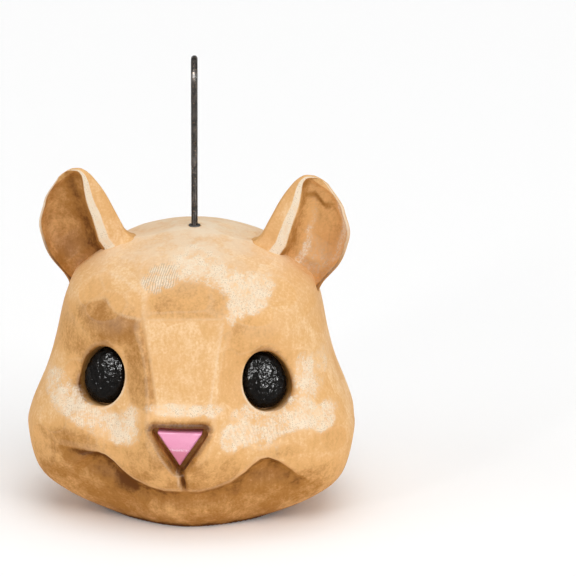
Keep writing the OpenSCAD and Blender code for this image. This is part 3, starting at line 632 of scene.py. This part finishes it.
def noseRing(grow, y, share=1):  # the nose's triangle, or a share of it, with its corners rounded by grow
    half = nose["width"] / 2 * share
    corners = np.array([(-half, 0), (0, -nose["height"] * share), (half, 0)])
    ring = []
    for i in range(3):
        a, b, c = corners[i - 1], corners[i], corners[(i + 1) % 3]
        first, second = [math.atan2(*side[::-1]) for side in (b - a, c - b)]
        for s in np.linspace(0, math.remainder(second - first, 2 * math.pi), 9):
            bent = first - math.pi / 2 + s
            ring.append(b + grow * np.array([math.cos(bent), math.sin(bent)]))
    return tilted(np.insert(np.array(ring), 1, float(y), axis=1))


holes = {  # bores: radius, lowest and highest end, and place where it isn't in the middle
    "crownHole": (2.7, 110, 140), "drainLeft": (2, -2, 8, -15, -35.5), "drainRight": (2, -2, 8, 15, -35.5),
}
seats = {"flangeSeat": (7.65, 116, 125.65), "ringSeat": (27.5, 4.5, 10.5, 0, -4)}
cutters = [socketCutter(-1), socketCutter(1), loft("groove", [noseRing(nose["cut"], y) for y in (0, -20)])]
cutAway(face, joined(cutters + [cylinder(name, *measures) for name, measures in holes.items()]))
cutAway(face, joined([cylinder(name, *measures) for name, measures in seats.items()]))
print("carved face:", len(face.data.vertices), "points")

# the back of the head, with its rolled lip and the tongue inside the face half

cover = {"tongueDepth": 6.0, "tongueWall": 2.0, "tongueEase": 0.5, "fitGap": 0.3}
wall, gap, tongueWall = head["wall"], head["wall"] + cover["fitGap"], cover["tongueWall"]
tongueTip = head["seamY"] - cover["tongueDepth"]
tongueEnd = tongueTip + cover["tongueEase"]
lipTurns = np.radians(np.arange(15, 166, 15))
hiddenRings = [(wall * (1 - math.cos(a)) / 2, coverEnd + head["lipRound"] * math.sin(a)) for a in lipTurns]
hiddenRings += [(wall, y) for y in np.linspace(coverEnd, coverStart, 9)]
hiddenRings += [(gap + tongueWall, tongueEnd), (gap + tongueWall / 2, tongueTip)]
hiddenRings += [(gap, y) for y in (tongueEnd, head["seamY"] - 3, coverStart)]
coverRows = np.vstack([carved[faceCount:]] + [
    sideRings(insetOutline(outline, t), np.full((1, around), float(y)), t) for t, y in hiddenRings])
coverRows[0] -= skinNormals[faceCount] * head["seamEase"]
back = meshPiece("back_ring", coverRows.reshape(-1, 3), ringFaces(len(coverRows), around, closed=True))
outwards(back)
print("back ring:", len(back.data.vertices), "points")

# ears: cupped leaves on the crown, whose roots run out into the head

ear = {
    "x": 43.7, "seatZ": 113.69, "turn": 37.7, "height": 42.5, "depth": 19.0, "bowl": 11.0,
    "outerRim": 1.7, "front": -9.0, "root": 5.0, "tipRound": 0.7,
    "columns": 132, "backColumns": 68, "rows": 64, "rootRows": 9,
}
earRims = np.array([  # height, then the width of the inner side and of the bright band on it
    [-0.3, 17, 6], [0.16, 13.8, 6], [0.4, 11.5, 5.2], [0.63, 9.3, 4.2], [0.78, 5.9, 3.4], [0.89, 2.6, 1.7],
    [1, 1.2, 0.8],
])
earEdges = np.array([  # height, then the inner and the outer edge
    [-0.3, -17.6, 13.5], [0, -18.5, 15.5], [0.07, -19, 16.5], [0.19, -20, 17.2], [0.35, -21.3, 17.5],
    [0.54, -22.7, 15.3], [0.72, -23.2, 11], [0.83, -23, 5], [0.89, -22.4, 1.6], [0.96, -20.5, -5.9],
    [1, -17.5, -11],
])


def eased(table, h, column):  # smooth curve through a table's rows
    x, y = table[:, 0], table[:, column]
    slope = np.gradient(y, x)
    i = np.clip(np.searchsorted(x, h) - 1, 0, len(x) - 2)
    w = x[i + 1] - x[i]
    t = (h - x[i]) / w
    return ((2 * t**3 - 3 * t**2 + 1) * y[i] + (t**3 - 2 * t**2 + t) * w * slope[i]
            + (3 * t**2 - 2 * t**3) * y[i + 1] + (t**3 - t**2) * w * slope[i + 1])


def earSection(h):  # h holds a height for each column; round the back first, then the hollow
    k = np.arange(ear["columns"])
    backCount = ear["backColumns"]
    a, b = eased(earEdges, h, 1), eased(earEdges, h, 2)
    mid, half = (a + b) / 2, (b - a) / 2
    deep = ear["depth"] * (1 - 0.72 * h) - 3
    front = lambda x: ear["front"] + 0.22 * x + 5 * h
    u = -np.pi / 2 + np.pi * np.minimum(k, backCount) / backCount
    backX = mid + half * np.sin(u)
    narrow = np.clip(half / 14, 0.25, 1)
    inner, outer = eased(earRims, h, 1), ear["outerRim"] * narrow
    band = inner - eased(earRims, h, 2)
    v = np.clip((k - backCount) / (ear["columns"] - backCount), 0, 1)  # from the outer edge to the inner
    rimX = np.interp(v, [0, 0.04, 0.08, 0.14, 0.72, 0.83, 0.96, 1], [0, 1, 2, 3, 4, 5, 6, 7])
    stops = np.stack([b, b - 0.25, b - 0.7, b - outer, a + inner, a + band, a + 0.08 * band, a])
    stop = np.clip(np.floor(rimX).astype(int), 0, 6)
    share = rimX - stop
    frontX = stops[stop, k] * (1 - share) + stops[stop + 1, k] * share
    slope = 0.45 * band + 0.3
    lift = np.interp(rimX, [0, 1, 2, 3, 4, 4.4, 5], [2.4, 1.1, 0.3, 0, 0.15, 0, 0.1])
    lift += (slope * np.interp(rimX, [5, 6, 7], [0, 0.82, 1])
             + np.interp(rimX, [5, 6, 7], [0, 0.3, 2.2]) * narrow)
    backY = front(backX) + 2.4 + (slope + 2.2 * narrow - 2.4) * (1 - np.sin(u)) / 2 + deep * np.cos(u)
    cup = np.clip((v - 0.14) / 0.58, 0, 1) * 2 - 1
    bowl = ear["bowl"] * np.maximum(np.sin(np.pi * np.clip((h - 0.02) / 0.93, 0, 1)), 0) ** 0.55
    bowl = np.minimum(bowl, np.maximum(deep + 0.4, 0.3))
    hollow = bowl * (1 - np.abs(cup) ** 2.4) ** 0.5
    x = np.where(k < backCount, backX, frontX)
    y = np.where(k < backCount, backY, front(frontX) + lift + hollow)
    return np.stack([x, y, h * ear["height"]], -1)


def earPlace(p, side):
    c, s = math.cos(math.radians(ear["turn"])), math.sin(math.radians(ear["turn"]))
    x = ear["x"] + p[..., 0] * c + p[..., 2] * s
    return np.stack([x * side, p[..., 1], ear["seatZ"] - p[..., 0] * s + p[..., 2] * c], -1)


headFaces = [f[::-1] for f in ringFaces(len(carved), around)]
headTree = BVHTree.FromPolygons(carved.reshape(-1, 3).tolist(), headFaces)


def aboveHead(p):
    hit, normal, _, gapTo = headTree.find_nearest(Vector(p))
    return gapTo * (1 if (Vector(p) - hit).dot(normal) > 0 else -1)


def emergingAt(side):  # height at which each column of an ear comes out of the head
    cols = ear["columns"]
    heights = np.linspace(-0.3, 0.6, 46)
    rows = [earPlace(earSection(np.full(cols, h)), side) for h in heights]
    emerge = [heights[max([i for i, row in enumerate(rows) if aboveHead(row[k]) <= 0], default=0)]
              for k in range(cols)]
    window = np.hanning(11) / np.hanning(11).sum()
    return np.convolve(np.concatenate([emerge] * 3), window, "same")[cols:2 * cols]


def makeEar(name, side):
    cols = ear["columns"]
    start = emergingAt(side) + ear["root"] / ear["height"]
    top = 1 - ear["tipRound"] / ear["height"]
    grid = [earPlace(earSection(start + (top - start) * t), side) for t in np.linspace(0, 1, ear["rows"])]
    tip = earSection(np.full(cols, top))
    centre = tip.mean(0)
    for a in np.radians((25, 50, 70)):
        rounded = (tip - centre) * [math.cos(a), math.cos(a), 1] + centre
        grid.append(earPlace(rounded + [0, 0, ear["tipRound"] * math.sin(a)], side))
    first = grid[0]
    middle = first.mean(0)
    along = np.roll(first, -2, 0) - np.roll(first, 2, 0)
    axis = np.array([side * math.sin(math.radians(ear["turn"])), 0, math.cos(math.radians(ear["turn"]))])
    out = np.cross(along, axis)
    out /= np.linalg.norm(out, axis=1)[:, None]
    out *= np.sign(((first - middle) * out).sum())
    reach = np.interp(np.arange(cols), [0, 8, 60, 68, 72, cols - 12, cols - 3, cols - 1],
                      [3, 5, 5, 2.5, 0.8, 0.8, 2, 2.6])
    hits = []  # where the root ends on the head
    for p in first + out * reach[:, None]:
        hit = headTree.ray_cast(Vector(p + axis * 3), Vector(-axis))[0]
        hits.append(hit if hit is not None else headTree.find_nearest(Vector(p))[0])
    hits = np.array(hits, float)
    for _ in range(6):
        hits = (np.roll(hits, 1, 0) + 2 * hits + np.roll(hits, -1, 0)) / 4
    corner = first + ((hits - first) @ axis)[:, None] * axis  # under the first ring, level with the foot
    roots = [hits + (first - corner) * (1 - math.sin(a)) + (corner - hits) * math.cos(a)
             for a in np.linspace(1, 0, ear["rootRows"], endpoint=False) * math.pi / 2]
    headNormals = np.array([headTree.find_nearest(Vector(p))[1] for p in hits])
    under = hits + out * 0.6 - headNormals * 1.2
    bottom = middle - axis * 8 + (first - middle) * 0.4
    grid = np.array([bottom, under, *roots, *grid])
    points = np.vstack([grid.reshape(-1, 3), grid[-1].mean(0)])
    last = (len(grid) - 1) * cols
    faces = ringFaces(len(grid), cols) + [tuple(range(cols))]
    faces += [(last + k, last + (k + 1) % cols, len(points) - 1) for k in range(cols)]
    obj = meshPiece(name, np.clip(points, lowest, highest), faces)
    outwards(obj)
    return obj, grid


leftEar, leftGrid = makeEar("ear_left", -1)
rightEar, rightGrid = makeEar("ear_right", 1)
print("ears:", len(leftEar.data.vertices), "points each")


def earPaint(grid, side):  # wash and painted shade in the hollow, a band of painted highlight along its inner edge
    k = np.arange(ear["columns"])
    v = np.clip((k - ear["backColumns"]) / (ear["columns"] - ear["backColumns"]), 0, 1)
    rise = np.clip((np.arange(len(grid)) - 2 - ear["rootRows"]) / ear["rows"], 0, 1)[:, None]
    zones = ((0.1, 0.735), (0.02, 0.13), (0.735, 0.83))
    hollow, rim, band = [((v > a) & (v < b)).astype(float) for a, b in zones]
    band = band * np.ones_like(rise)
    lobe = softStep(0.2 - rise, 0.1)
    # left ear: hollow darker in a band near its inner wall, toward the top and at the lobe, painted shade
    if side < 0:
        shade = bell(v - 0.57 - 0.06 * (1 - rise), 0.11)
        wash = hollow * (0.28 + 0.7 * shade * (0.55 + 0.45 * rise) + 0.12 * rise ** 2 + 0.35 * lobe)
        strokes = 0
    else:
        # right ear: painted shade along the inner wall, up high, in a wavy line and at the lobe; light strokes
        # of painted highlight
        wave = bell(rise - 0.74 - 0.03 * np.sin(26 * v), 0.035)
        wave = wave * softStep(v - 0.32, 0.06) * softStep(0.62 - v, 0.04)
        wash = 0.02 + 0.3 * bell(v - 0.7, 0.05) + 0.22 * softStep(rise - 0.55, 0.15) + 0.6 * wave + 0.3 * lobe
        wash = hollow * wash
        strokes = 0.75 * bell(v - 0.54 - 0.08 * (rise - 0.3), 0.05) * softStep(0.6 - rise, 0.1)
        strokes += 0.8 * bell(v - 0.17, 0.05) * softStep(rise - 0.3, 0.1)
        strokes += 0.4 * softStep(0.3 - rise, 0.1) * (v < 0.5)
    # painted shade on the rim's lower half and round the back of the root, painted highlight on its upper half
    # and on the band
    under = rim * softStep(0.5 - rise, 0.15)
    wash = wash + 0.2 * (1 - rise) ** 6 * (k < ear["backColumns"]) + 0.7 * under
    bright = rim * softStep(rise - 0.5, 0.15) * 0.9 + 0.6 * band
    light = band * 1.2 + hollow * strokes
    return {"wash": wash.ravel(), "pale": light.ravel(), "edge": bright.ravel(), "hatch": band.ravel() * 0.4}


for piece, grid, side in ((leftEar, leftGrid, -1), (rightEar, rightGrid, 1)):
    paintFrom(piece, grid.reshape(-1, 3), earPaint(grid, side), 0.4)
paintFrom(face, carved.reshape(-1, 3), skinPaint, 0.45)
paintFrom(back, carved.reshape(-1, 3), skinPaint, 0.3)
print("paint carried over")

# eyes: black eggs, hammered all over


def makeEye(name, side):
    bpy.ops.object.select_all(action="DESELECT")
    bpy.ops.mesh.primitive_ico_sphere_add(subdivisions=6, radius=1)
    obj = bpy.context.object
    obj.name = name
    u, y, v = (pointsOf(obj) * mm).T
    power = eye["roundness"]
    dome = (1 - np.clip(np.hypot(u, v), 0, 1) ** power) ** (1 / power)
    y = np.where(y < 0, -dome, y * eye["backBulge"]) * eye["thickness"] - eye["standOut"]
    shape = np.insert(eggAt(u, v, eye["width"], eye["height"]), 1, y, axis=1)
    setPoints(obj, shape)
    rng = np.random.default_rng(11 if side < 0 else 12)
    front = shape[shape[:, 1] < -0.4]
    centres = []
    far = np.full(len(front), 1e9)
    at = int(rng.integers(len(front)))
    while far.max() > eye["dentSpacing"]**2 or len(centres) < 20:
        centres.append(front[at])
        far = np.minimum(far, ((front - front[at]) ** 2).sum(1))
        at = int((far + rng.uniform(0, 0.8, len(far))).argmax())
    nearest = np.sqrt(((shape[:, None] - np.array(centres)[None]) ** 2).sum(-1)).min(1)
    dent = eye["dentDepth"] * np.clip(1 - (nearest / eye["dentRadius"]) ** 2, 0, 1) * (shape[:, 1] < -0.3)
    setPoints(obj, atEye(shape - normalsOf(obj) * dent[:, None], side))
    outwards(obj)
    return obj


leftEye = makeEye("eye_left", -1)
rightEye = makeEye("eye_right", 1)

# nose: a pink triangle with rounded corners and an eased front edge

depth = nose["padDepth"]
easing = [  # how far in, and how far forward, each ring lies
    (0, 0), (0, depth - 0.5), (-0.06, depth - 0.25), (-0.25, depth - 0.06), (-0.5, depth),
]
nosePad = loft("nose_pad", [noseRing(nose["padGrow"] + grow, -out, nose["padShare"]) for grow, out in easing])

for piece, node in ((face, "front_shell"), (back, "rear_cover"), (leftEar, "left_ear"), (rightEar, "right_ear"),
                    (leftEye, "left_eye"), (rightEye, "right_eye"), (nosePad, "nose")):
    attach(piece, "head")
    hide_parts(node)
    smoothBy(piece, 35)
print("eyes and nose set in")

# finishes


def shaderGroup(name, inputs, outputs):  # inputs and outputs as (name, kind, default)
    group = bpy.data.node_groups.new(name, "ShaderNodeTree")
    for label, kind, default in inputs:
        socket = group.interface.new_socket(label, in_out="INPUT", socket_type="NodeSocket" + kind)
        if default is not None:
            socket.default_value = default
    for label, kind in outputs:
        group.interface.new_socket(label, in_out="OUTPUT", socket_type="NodeSocket" + kind)
    return group, group.nodes.new("NodeGroupInput"), group.nodes.new("NodeGroupOutput")


def addNode(tree, kind, links=None, **settings):  # links: socket name or number to a value or another socket
    node = tree.nodes.new("ShaderNode" + kind)
    for key, value in settings.items():
        setattr(node, key, value)
    for key, value in (links or {}).items():
        if isinstance(value, bpy.types.NodeSocket):
            tree.links.new(value, node.inputs[key])
        else:
            node.inputs[key].default_value = value
    return node


def maths(operation, a, b=0.0):
    tree = (a if isinstance(a, bpy.types.NodeSocket) else b).id_data
    return addNode(tree, "Math", {0: a, 1: b}, operation=operation).outputs[0]


def times(a, b):
    return maths("MULTIPLY", a, b)


def plus(first, *others):
    for other in others:
        first = maths("ADD", first, other)
    return first


def varied(value, *sources):  # a value pushed up and down by each source, (how much, source)
    return plus(value, *[times(maths("SUBTRACT", source, 0.5), amount) for amount, source in sources])


def mixColour(share, a, b):
    return addNode(share.id_data, "Mix", {0: share, 6: a, 7: b}, data_type="RGBA").outputs[2]


def spread(value, low, high, toLow=0.0, toHigh=1.0):
    levels = {0: value, 1: low, 2: high, 3: toLow, 4: toHigh}
    return addNode(value.id_data, "MapRange", levels, interpolation_type="SMOOTHSTEP").outputs[0]


def objectPlace(tree):
    return addNode(tree, "TexCoord").outputs["Object"]


def maskOf(tree, name):  # a point value that paintMask stored
    return addNode(tree, "Attribute", attribute_name=name).outputs["Fac"]


def noiseAt(where, size, detail=3.0, roughness=0.55, stretch=None):  # size of its lumps in metres
    if stretch:
        where = addNode(where.id_data, "Mapping", {0: where, 3: stretch}).outputs[0]
    levels = {"Vector": where, "Scale": 1 / size, "Detail": detail, "Roughness": roughness}
    return addNode(where.id_data, "TexNoise", levels).outputs[0]


def cellsAt(where, scale, output, randomness=1.0):
    levels = {"Vector": where, "Scale": scale, "Randomness": randomness}
    return addNode(where.id_data, "TexVoronoi", levels).outputs[output]


def cellTones(where, scale, randomness=1.0):  # cells, each with its own tone
    return addNode(where.id_data, "SeparateColor", {0: cellsAt(where, scale, "Color", randomness)}).outputs[0]


# the rubbed colour serves both pale rubbing and painted highlights
glazeColours = {
    "Light": (0.92, 0.63, 0.345, 1), "Base": (0.79, 0.44, 0.17, 1), "Brown": (0.42, 0.185, 0.043, 1),
    "Dark": (0.14, 0.045, 0.006, 1), "RubbedAndLit": (0.93, 0.805, 0.63, 1),
}
glazeMasks = ("Wash", "Pale", "Edge", "Hatch")
speckBrown = (0.36, 0.22, 0.12, 1)


def makeGlaze():  # antique glaze over carved stock: brown in the hollows and as painted shade, rubbed pale on the high spots and as painted highlight
    inputs = [(label, "Color", colour) for label, colour in glazeColours.items()]
    inputs += [(label, "Float", 0.0) for label in glazeMasks]
    outputs = [("Color", "Color"), ("Roughness", "Float"), ("Height", "Float")]
    group, start, end = shaderGroup("antiqueGlaze", inputs, outputs)
    given = start.outputs
    where = objectPlace(group)
    cloud = noiseAt(where, 0.026, 3, 0.5)
    mottle = noiseAt(where, 0.0042)
    blotch = noiseAt(where, 0.0085, 4, 0.62)
    streak = noiseAt(where, 0.003, 3, 0.6, (1.6, 1.6, 0.4))
    fine = noiseAt(where, 0.0011, 3, 0.6)
    tones = cellTones(where, 66.0, 0.9)  # small knife cuts
    wash = times(given["Wash"], spread(blotch, 0.25, 0.7, 0.7, 1.2))
    wash = varied(wash, (0.26, cloud), (0.3, blotch), (0.3, streak), (0.46, fine), (0.13, tones))
    wash = plus(wash, 0.14)
    colour = mixColour(spread(wash, -0.1, 0.22), given["Light"], given["Base"])
    colour = mixColour(spread(wash, 0.16, 0.78), colour, given["Brown"])
    colour = mixColour(spread(wash, 0.7, 1.35), colour, given["Dark"])
    # painted highlight: the edge mask's ridges, light lines and crown, in the rubbed colour
    glow = times(given["Edge"], spread(blotch, 0.35, 0.6, 0.4, 0.85))
    colour = mixColour(glow, colour, given["RubbedAndLit"])
    # pale rubbed patches, partly painted highlight
    ragged = varied(given["Pale"], (1.1, streak), (1.3, blotch), (1.5, mottle), (1.9, fine))
    rubbedAndLit = times(spread(ragged, 0.05, 1.35), spread(given["Pale"], 0.0, 0.7))
    colour = mixColour(times(rubbedAndLit, 0.8), colour, given["RubbedAndLit"])
    specks = spread(cellsAt(where, 1400.0, "Distance"), 0.4, 0.22)
    specks = times(specks, spread(mottle, 0.42, 0.55))
    slanted = addNode(group, "Mapping", {0: where, 2: (0.0, 0.45, 0.5)}).outputs[0]
    levels = {"Vector": slanted, "Scale": 330.0, "Distortion": 9.0, "Detail": 2.0, "Detail Scale": 0.25}
    lines = addNode(group, "TexWave", levels, wave_type="BANDS", bands_direction="X").outputs[1]
    lines = times(spread(lines, 0.62, 0.9), spread(given["Hatch"], 0.3, 0.9))
    marks = times(maths("MAXIMUM", times(specks, 0.42), times(lines, 0.5)), spread(rubbedAndLit, 0.0, 0.5))
    colour = mixColour(marks, colour, speckBrown)
    height = plus(times(blotch, 0.9), times(streak, 0.3), times(fine, 0.22))
    height = maths("SUBTRACT", height, times(marks, 0.25))
    for value, (label, _) in zip((colour, spread(blotch, 0.3, 0.7, 0.48, 0.66), height), outputs):
        group.links.new(value, end.inputs[label])
    return group


def newMaterial(name, **shader):
    material = bpy.data.materials.new(name)
    material.use_nodes = True
    shade = material.node_tree.nodes["Principled BSDF"]
    for label, value in shader.items():
        shade.inputs[label.replace("_", " ")].default_value = value
    return material, material.node_tree, shade


def finish(shade, colour, roughness, height, distance, strength):  # joins a finish to its shader
    tree = shade.id_data
    bump = addNode(tree, "Bump", {"Height": height, "Distance": distance, "Strength": strength})
    for label, value in (("Base Color", colour), ("Roughness", roughness), ("Normal", bump.outputs[0])):
        tree.links.new(value, shade.inputs[label])


glaze = makeGlaze()


def glazed(name, painted=True, **changes):
    material, tree, shade = newMaterial(name, Specular_IOR_Level=0.05)
    masks = {label: maskOf(tree, label.lower()) for label in glazeMasks} if painted else {}
    given = addNode(tree, "Group", {**changes, **masks}, node_tree=glaze).outputs
    finish(shade, given["Color"], given["Roughness"], given["Height"], 0.0006, 0.5)
    return material


headGlaze = glazed("headGlaze")
for piece in (face, back, leftEar, rightEar):
    setMaterial(piece, headGlaze)


def makeHammered():  # gloss black enamel with small runs and pits
    material, tree, shade = newMaterial("hammeredBlack", Specular_IOR_Level=0.07)
    where = objectPlace(tree)
    fine, lumps = noiseAt(where, 0.0009, 2), noiseAt(where, 0.0026)
    colour = mixColour(spread(lumps, 0.35, 0.7), (0.003, 0.0025, 0.002, 1), (0.008, 0.006, 0.005, 1))
    finish(shade, colour, spread(fine, 0.3, 0.7, 0.16, 0.3), plus(lumps, times(fine, 0.22)), 0.0008, 0.8)
    return material


# above and below: painted light and painted shade on the two halves; fold: painted highlight line; strip:
# painted shade along the top edge; the last is dusty specks that also darken the lower half as painted shade
pinks = {
    "above": (0.86, 0.3, 0.49, 1), "below": (0.7, 0.19, 0.3, 1), "fold": (0.97, 0.6, 0.75, 1),
    "strip": (0.6, 0.2, 0.3, 1), "dust_and_shade": (0.62, 0.17, 0.27, 1),
}


def makePinkPaint():  # pink enamel: painted light above its fold, painted shade below it, a painted highlight on the fold, painted shade along the top, and a dusty lower half darkened further as painted shade
    material, tree, shade = newMaterial("nosePink")
    where = objectPlace(tree)
    fine, grain = noiseAt(where, 0.0008), noiseAt(where, 0.0035, 3, 0.6, (0.4, 1, 1))
    fold = maskOf(tree, "fold")
    shift = varied(fold, (0.25, grain))
    colour = mixColour(spread(shift, 0.4, 0.6), pinks["above"], pinks["below"])
    line = spread(maths("ABSOLUTE", maths("SUBTRACT", shift, 0.5)), 0.06, 0.0)
    colour = mixColour(times(line, spread(fine, 0.4, 0.6)), colour, pinks["fold"])
    colour = mixColour(times(maskOf(tree, "strip"), 0.6), colour, pinks["strip"])
    dust_and_shade = times(spread(fine, 0.52, 0.7), spread(fold, 0.3, 0.8, 0.15, 0.6))
    colour = mixColour(dust_and_shade, colour, pinks["dust_and_shade"])
    finish(shade, colour, spread(grain, 0.3, 0.7, 0.3, 0.45), plus(grain, times(fine, 0.4)), 0.0004, 0.5)
    return material


hammered = makeHammered()
for piece in (leftEye, rightEye):
    setMaterial(piece, hammered)
setMaterial(nosePad, makePinkPaint())
spots = pointsOf(nosePad)
rise = (nose["top"] - spots[:, 2]) / nose["height"]
# how far down the nose, where painted shade takes over, and the painted shade strip along its top edge
paintMask(nosePad, "fold", np.clip(rise - 0.02, 0, 1))
paintMask(nosePad, "strip", np.clip(1 - (rise + 0.03) / 0.07, 0, 1))


def makeZinc():  # zinc plate with its cloudy crystals
    material, tree, shade = newMaterial("zincPlate", Metallic=1.0)
    where = objectPlace(tree)
    grain, cloud = noiseAt(where, 0.0004), noiseAt(where, 0.008)
    share = times(cellTones(where, 250.0), spread(cloud, 0.3, 0.7, 0.5, 1))
    colour = mixColour(share, (0.36, 0.36, 0.35, 1), (0.66, 0.66, 0.64, 1))
    finish(shade, colour, spread(cloud, 0.3, 0.7, 0.3, 0.5), grain, 0.0002, 0.3)
    return material


def makeLacquer():  # dark bronze lacquer on wire: thin spots and runs along it
    material, tree, shade = newMaterial("bronzeLacquer", Metallic=0.35)
    where = objectPlace(tree)
    runs, specks = noiseAt(where, 0.0016, 3, 0.6, (1, 1, 0.35)), noiseAt(where, 0.0006, 2)
    colour = mixColour(spread(runs, 0.35, 0.7), (0.009, 0.006, 0.004, 1), (0.035, 0.026, 0.02, 1))
    colour = mixColour(spread(specks, 0.6, 0.72), colour, (0.22, 0.13, 0.07, 1))
    finish(shade, colour, spread(runs, 0.3, 0.7, 0.22, 0.42), plus(runs, times(specks, 0.3)), 0.0003, 0.7)
    return material


def moulded(name, dark, light, roughLow, roughHigh, flowSize=0.006):  # plastic: matt grain, faint flow marks
    material, tree, shade = newMaterial(name)
    where = objectPlace(tree)
    flow, grain = noiseAt(where, flowSize, 4, 0.6), noiseAt(where, 0.0005)
    colour = mixColour(spread(flow, 0.3, 0.7), dark, light)
    finish(shade, colour, spread(grain, 0.35, 0.65, roughLow, roughHigh), grain, 0.00015, 0.5)
    return material


zinc = makeZinc()
finishes = {
    "hanging_rod": makeLacquer(), "load_washer": zinc, "rod_nut": zinc,
    "crown_bush": moulded("bushBlack", (0.01, 0.009, 0.008, 1), (0.03, 0.027, 0.024, 1), 0.45, 0.65),
    "shank_washers": moulded("washerPlastic", (0.68, 0.67, 0.6, 1), (0.8, 0.79, 0.73, 1), 0.35, 0.5),
    "cup_ring": glazed("ringGlaze", painted=False, Wash=0.25),
}
for node, material in finishes.items():
    setMaterial(nodes[node], material)

# food cup: spun, with a rolled rim to lift it by

cup = {"footRadius": 23.5, "wall": 2.0, "rimOut": 3.0, "rimHeight": 4.0, "turns": 96, "soften": 0.35}


def makeCup():
    lowEnd, highEnd = [np.array(corner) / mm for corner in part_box("food_cup")]
    middle = (lowEnd + highEnd) / 2
    foot, floorZ, top = cup["footRadius"], lowEnd[2], highEnd[2]
    rim, tall = (highEnd[0] - lowEnd[0]) / 2, cup["rimHeight"]
    body = rim - cup["rimOut"]
    inside = body - cup["wall"]
    profile = [  # radius and height, from the foot up the outside, over the rim and down inside
        (0, floorZ + 0.8), (foot - 4, floorZ + 0.8), (foot - 3.2, floorZ), (foot - 0.8, floorZ),
        (foot, floorZ + 0.8), (body, top - tall), (body + 0.8, top - tall + 0.5),
        (rim - 0.4, top - tall * 0.55), (rim, top - tall * 0.35), (rim, top - 1), (rim - 0.9, top),
        (inside + 1, top), (inside, top - 1), (foot - 1, floorZ + 3.2), (foot - 2.6, floorZ + 2),
        (0, floorZ + 2),
    ]
    centre = (middle[0] * mm, middle[1] * mm, 0)
    bpy.ops.object.select_all(action="DESELECT")
    bpy.ops.mesh.primitive_plane_add(size=mm, location=centre)
    obj = bpy.context.object
    obj.name = "spun_cup"
    bpy.ops.object.transform_apply(location=True, rotation=True, scale=True)
    obj.data.clear_geometry()
    points = [((middle[0] + x) * mm, middle[1] * mm, z * mm) for x, z in profile]
    obj.data.from_pydata(points, [(i, i + 1) for i in range(len(points) - 1)], [])
    bpy.ops.object.mode_set(mode="EDIT")
    bpy.ops.mesh.select_all(action="SELECT")
    bpy.ops.mesh.spin(steps=cup["turns"], angle=2 * math.pi, center=centre, axis=(0, 0, 1))
    bpy.ops.object.mode_set(mode="OBJECT")
    outwards(obj, 2e-6)
    bevel = obj.modifiers.new("soften", "BEVEL")
    bevel.width, bevel.segments = cup["soften"] * mm, 2
    bevel.limit_method, bevel.angle_limit = "ANGLE", math.radians(25)
    applyModifiers(obj)
    smoothBy(obj, 30)
    return obj


spunCup = makeCup()
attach(spunCup, "cup")
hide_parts("food_cup")
setMaterial(spunCup, moulded("cupBrown", (0.14, 0.07, 0.028, 1), (0.2, 0.105, 0.045, 1), 0.35, 0.55, 0.012))
print("finishes set")

# camera, floor and lamps

view = {
    "turn": 5.7, "tilt": 18, "across": 42.6, "up": 95.6,  # degrees, then the middle of the picture in mm
    "distance": 8, "width": 0.2638, "sensor": 36,  # metres, metres and mm
}
lamps = {
    "suns": {  # where it shines from, strength, softness in degrees
        "key": ((0.05, -0.05, 1.0), 1.1, 60), "fill": ((0.4, -1.0, 1.3), 0.64, 40),
        "left": ((-1.0, -0.5, 0.6), 0.36, 40), "right": ((1.0, -0.5, 0.6), 0.45, 40),
    },
    "glints": {  # place, size, watts
        "glintLeft": ((-0.5, -0.9, 0.5), (0.1, 0.14), 50),
        "glintRight": ((0.85, -0.75, 0.32), (0.14, 0.16), 42),
    },
    "glintAim": (0, 0, 0.07), "world": (0.34, 0.34, 0.34, 1),
}

turn, tilt = math.radians(view["turn"]), math.radians(view["tilt"])
right = Vector((math.cos(turn), math.sin(turn), 0))
ahead = Vector((-math.sin(turn) * math.cos(tilt), math.cos(turn) * math.cos(tilt), -math.sin(tilt)))
target = (right * view["across"] + right.cross(ahead) * view["up"]) * mm


def staged(name, data, where, direction):  # a camera or lamp that looks in a direction
    obj = bpy.data.objects.new(name, data)
    obj.location = where
    obj.rotation_euler = direction.to_track_quat("-Z", "Y").to_euler()
    bpy.context.scene.collection.objects.link(obj)
    return obj


cameraData = bpy.data.cameras.new("camera")
cameraData.sensor_width = view["sensor"]
cameraData.lens = view["sensor"] * view["distance"] / view["width"]
bpy.context.scene.camera = staged("camera", cameraData, target - ahead * view["distance"], ahead)
for name, (towards, strength, softness) in lamps["suns"].items():
    sun = bpy.data.lights.new(name, "SUN")
    sun.energy, sun.angle = strength, math.radians(softness)
    staged(name, sun, (0, 0, 0), -Vector(towards))
for name, (where, size, watts) in lamps["glints"].items():
    area = bpy.data.lights.new(name, "AREA")
    area.shape, area.energy = "RECTANGLE", watts
    area.size, area.size_y = size
    staged(name, area, where, Vector(lamps["glintAim"]) - Vector(where)).visible_diffuse = False
world = bpy.data.worlds.new("studio")
bpy.context.scene.world = world
world.use_nodes = True
world.node_tree.nodes["Background"].inputs["Color"].default_value = lamps["world"]
bpy.ops.object.select_all(action="DESELECT")
bpy.ops.mesh.primitive_plane_add(size=12)
floor = bpy.context.object
floor.name = "floor"
paper, tree, shade = newMaterial(
    "paper", Roughness=0.9, Base_Color=(0.98, 0.98, 0.98, 1), Emission_Color=(1, 1, 1, 1))
seen = addNode(tree, "LightPath").outputs["Is Camera Ray"]
tree.links.new(times(seen, 0.02), shade.inputs["Emission Strength"])
setMaterial(floor, paper)
bpy.context.scene.view_settings.view_transform = "Standard"
print("camera and lamps set")
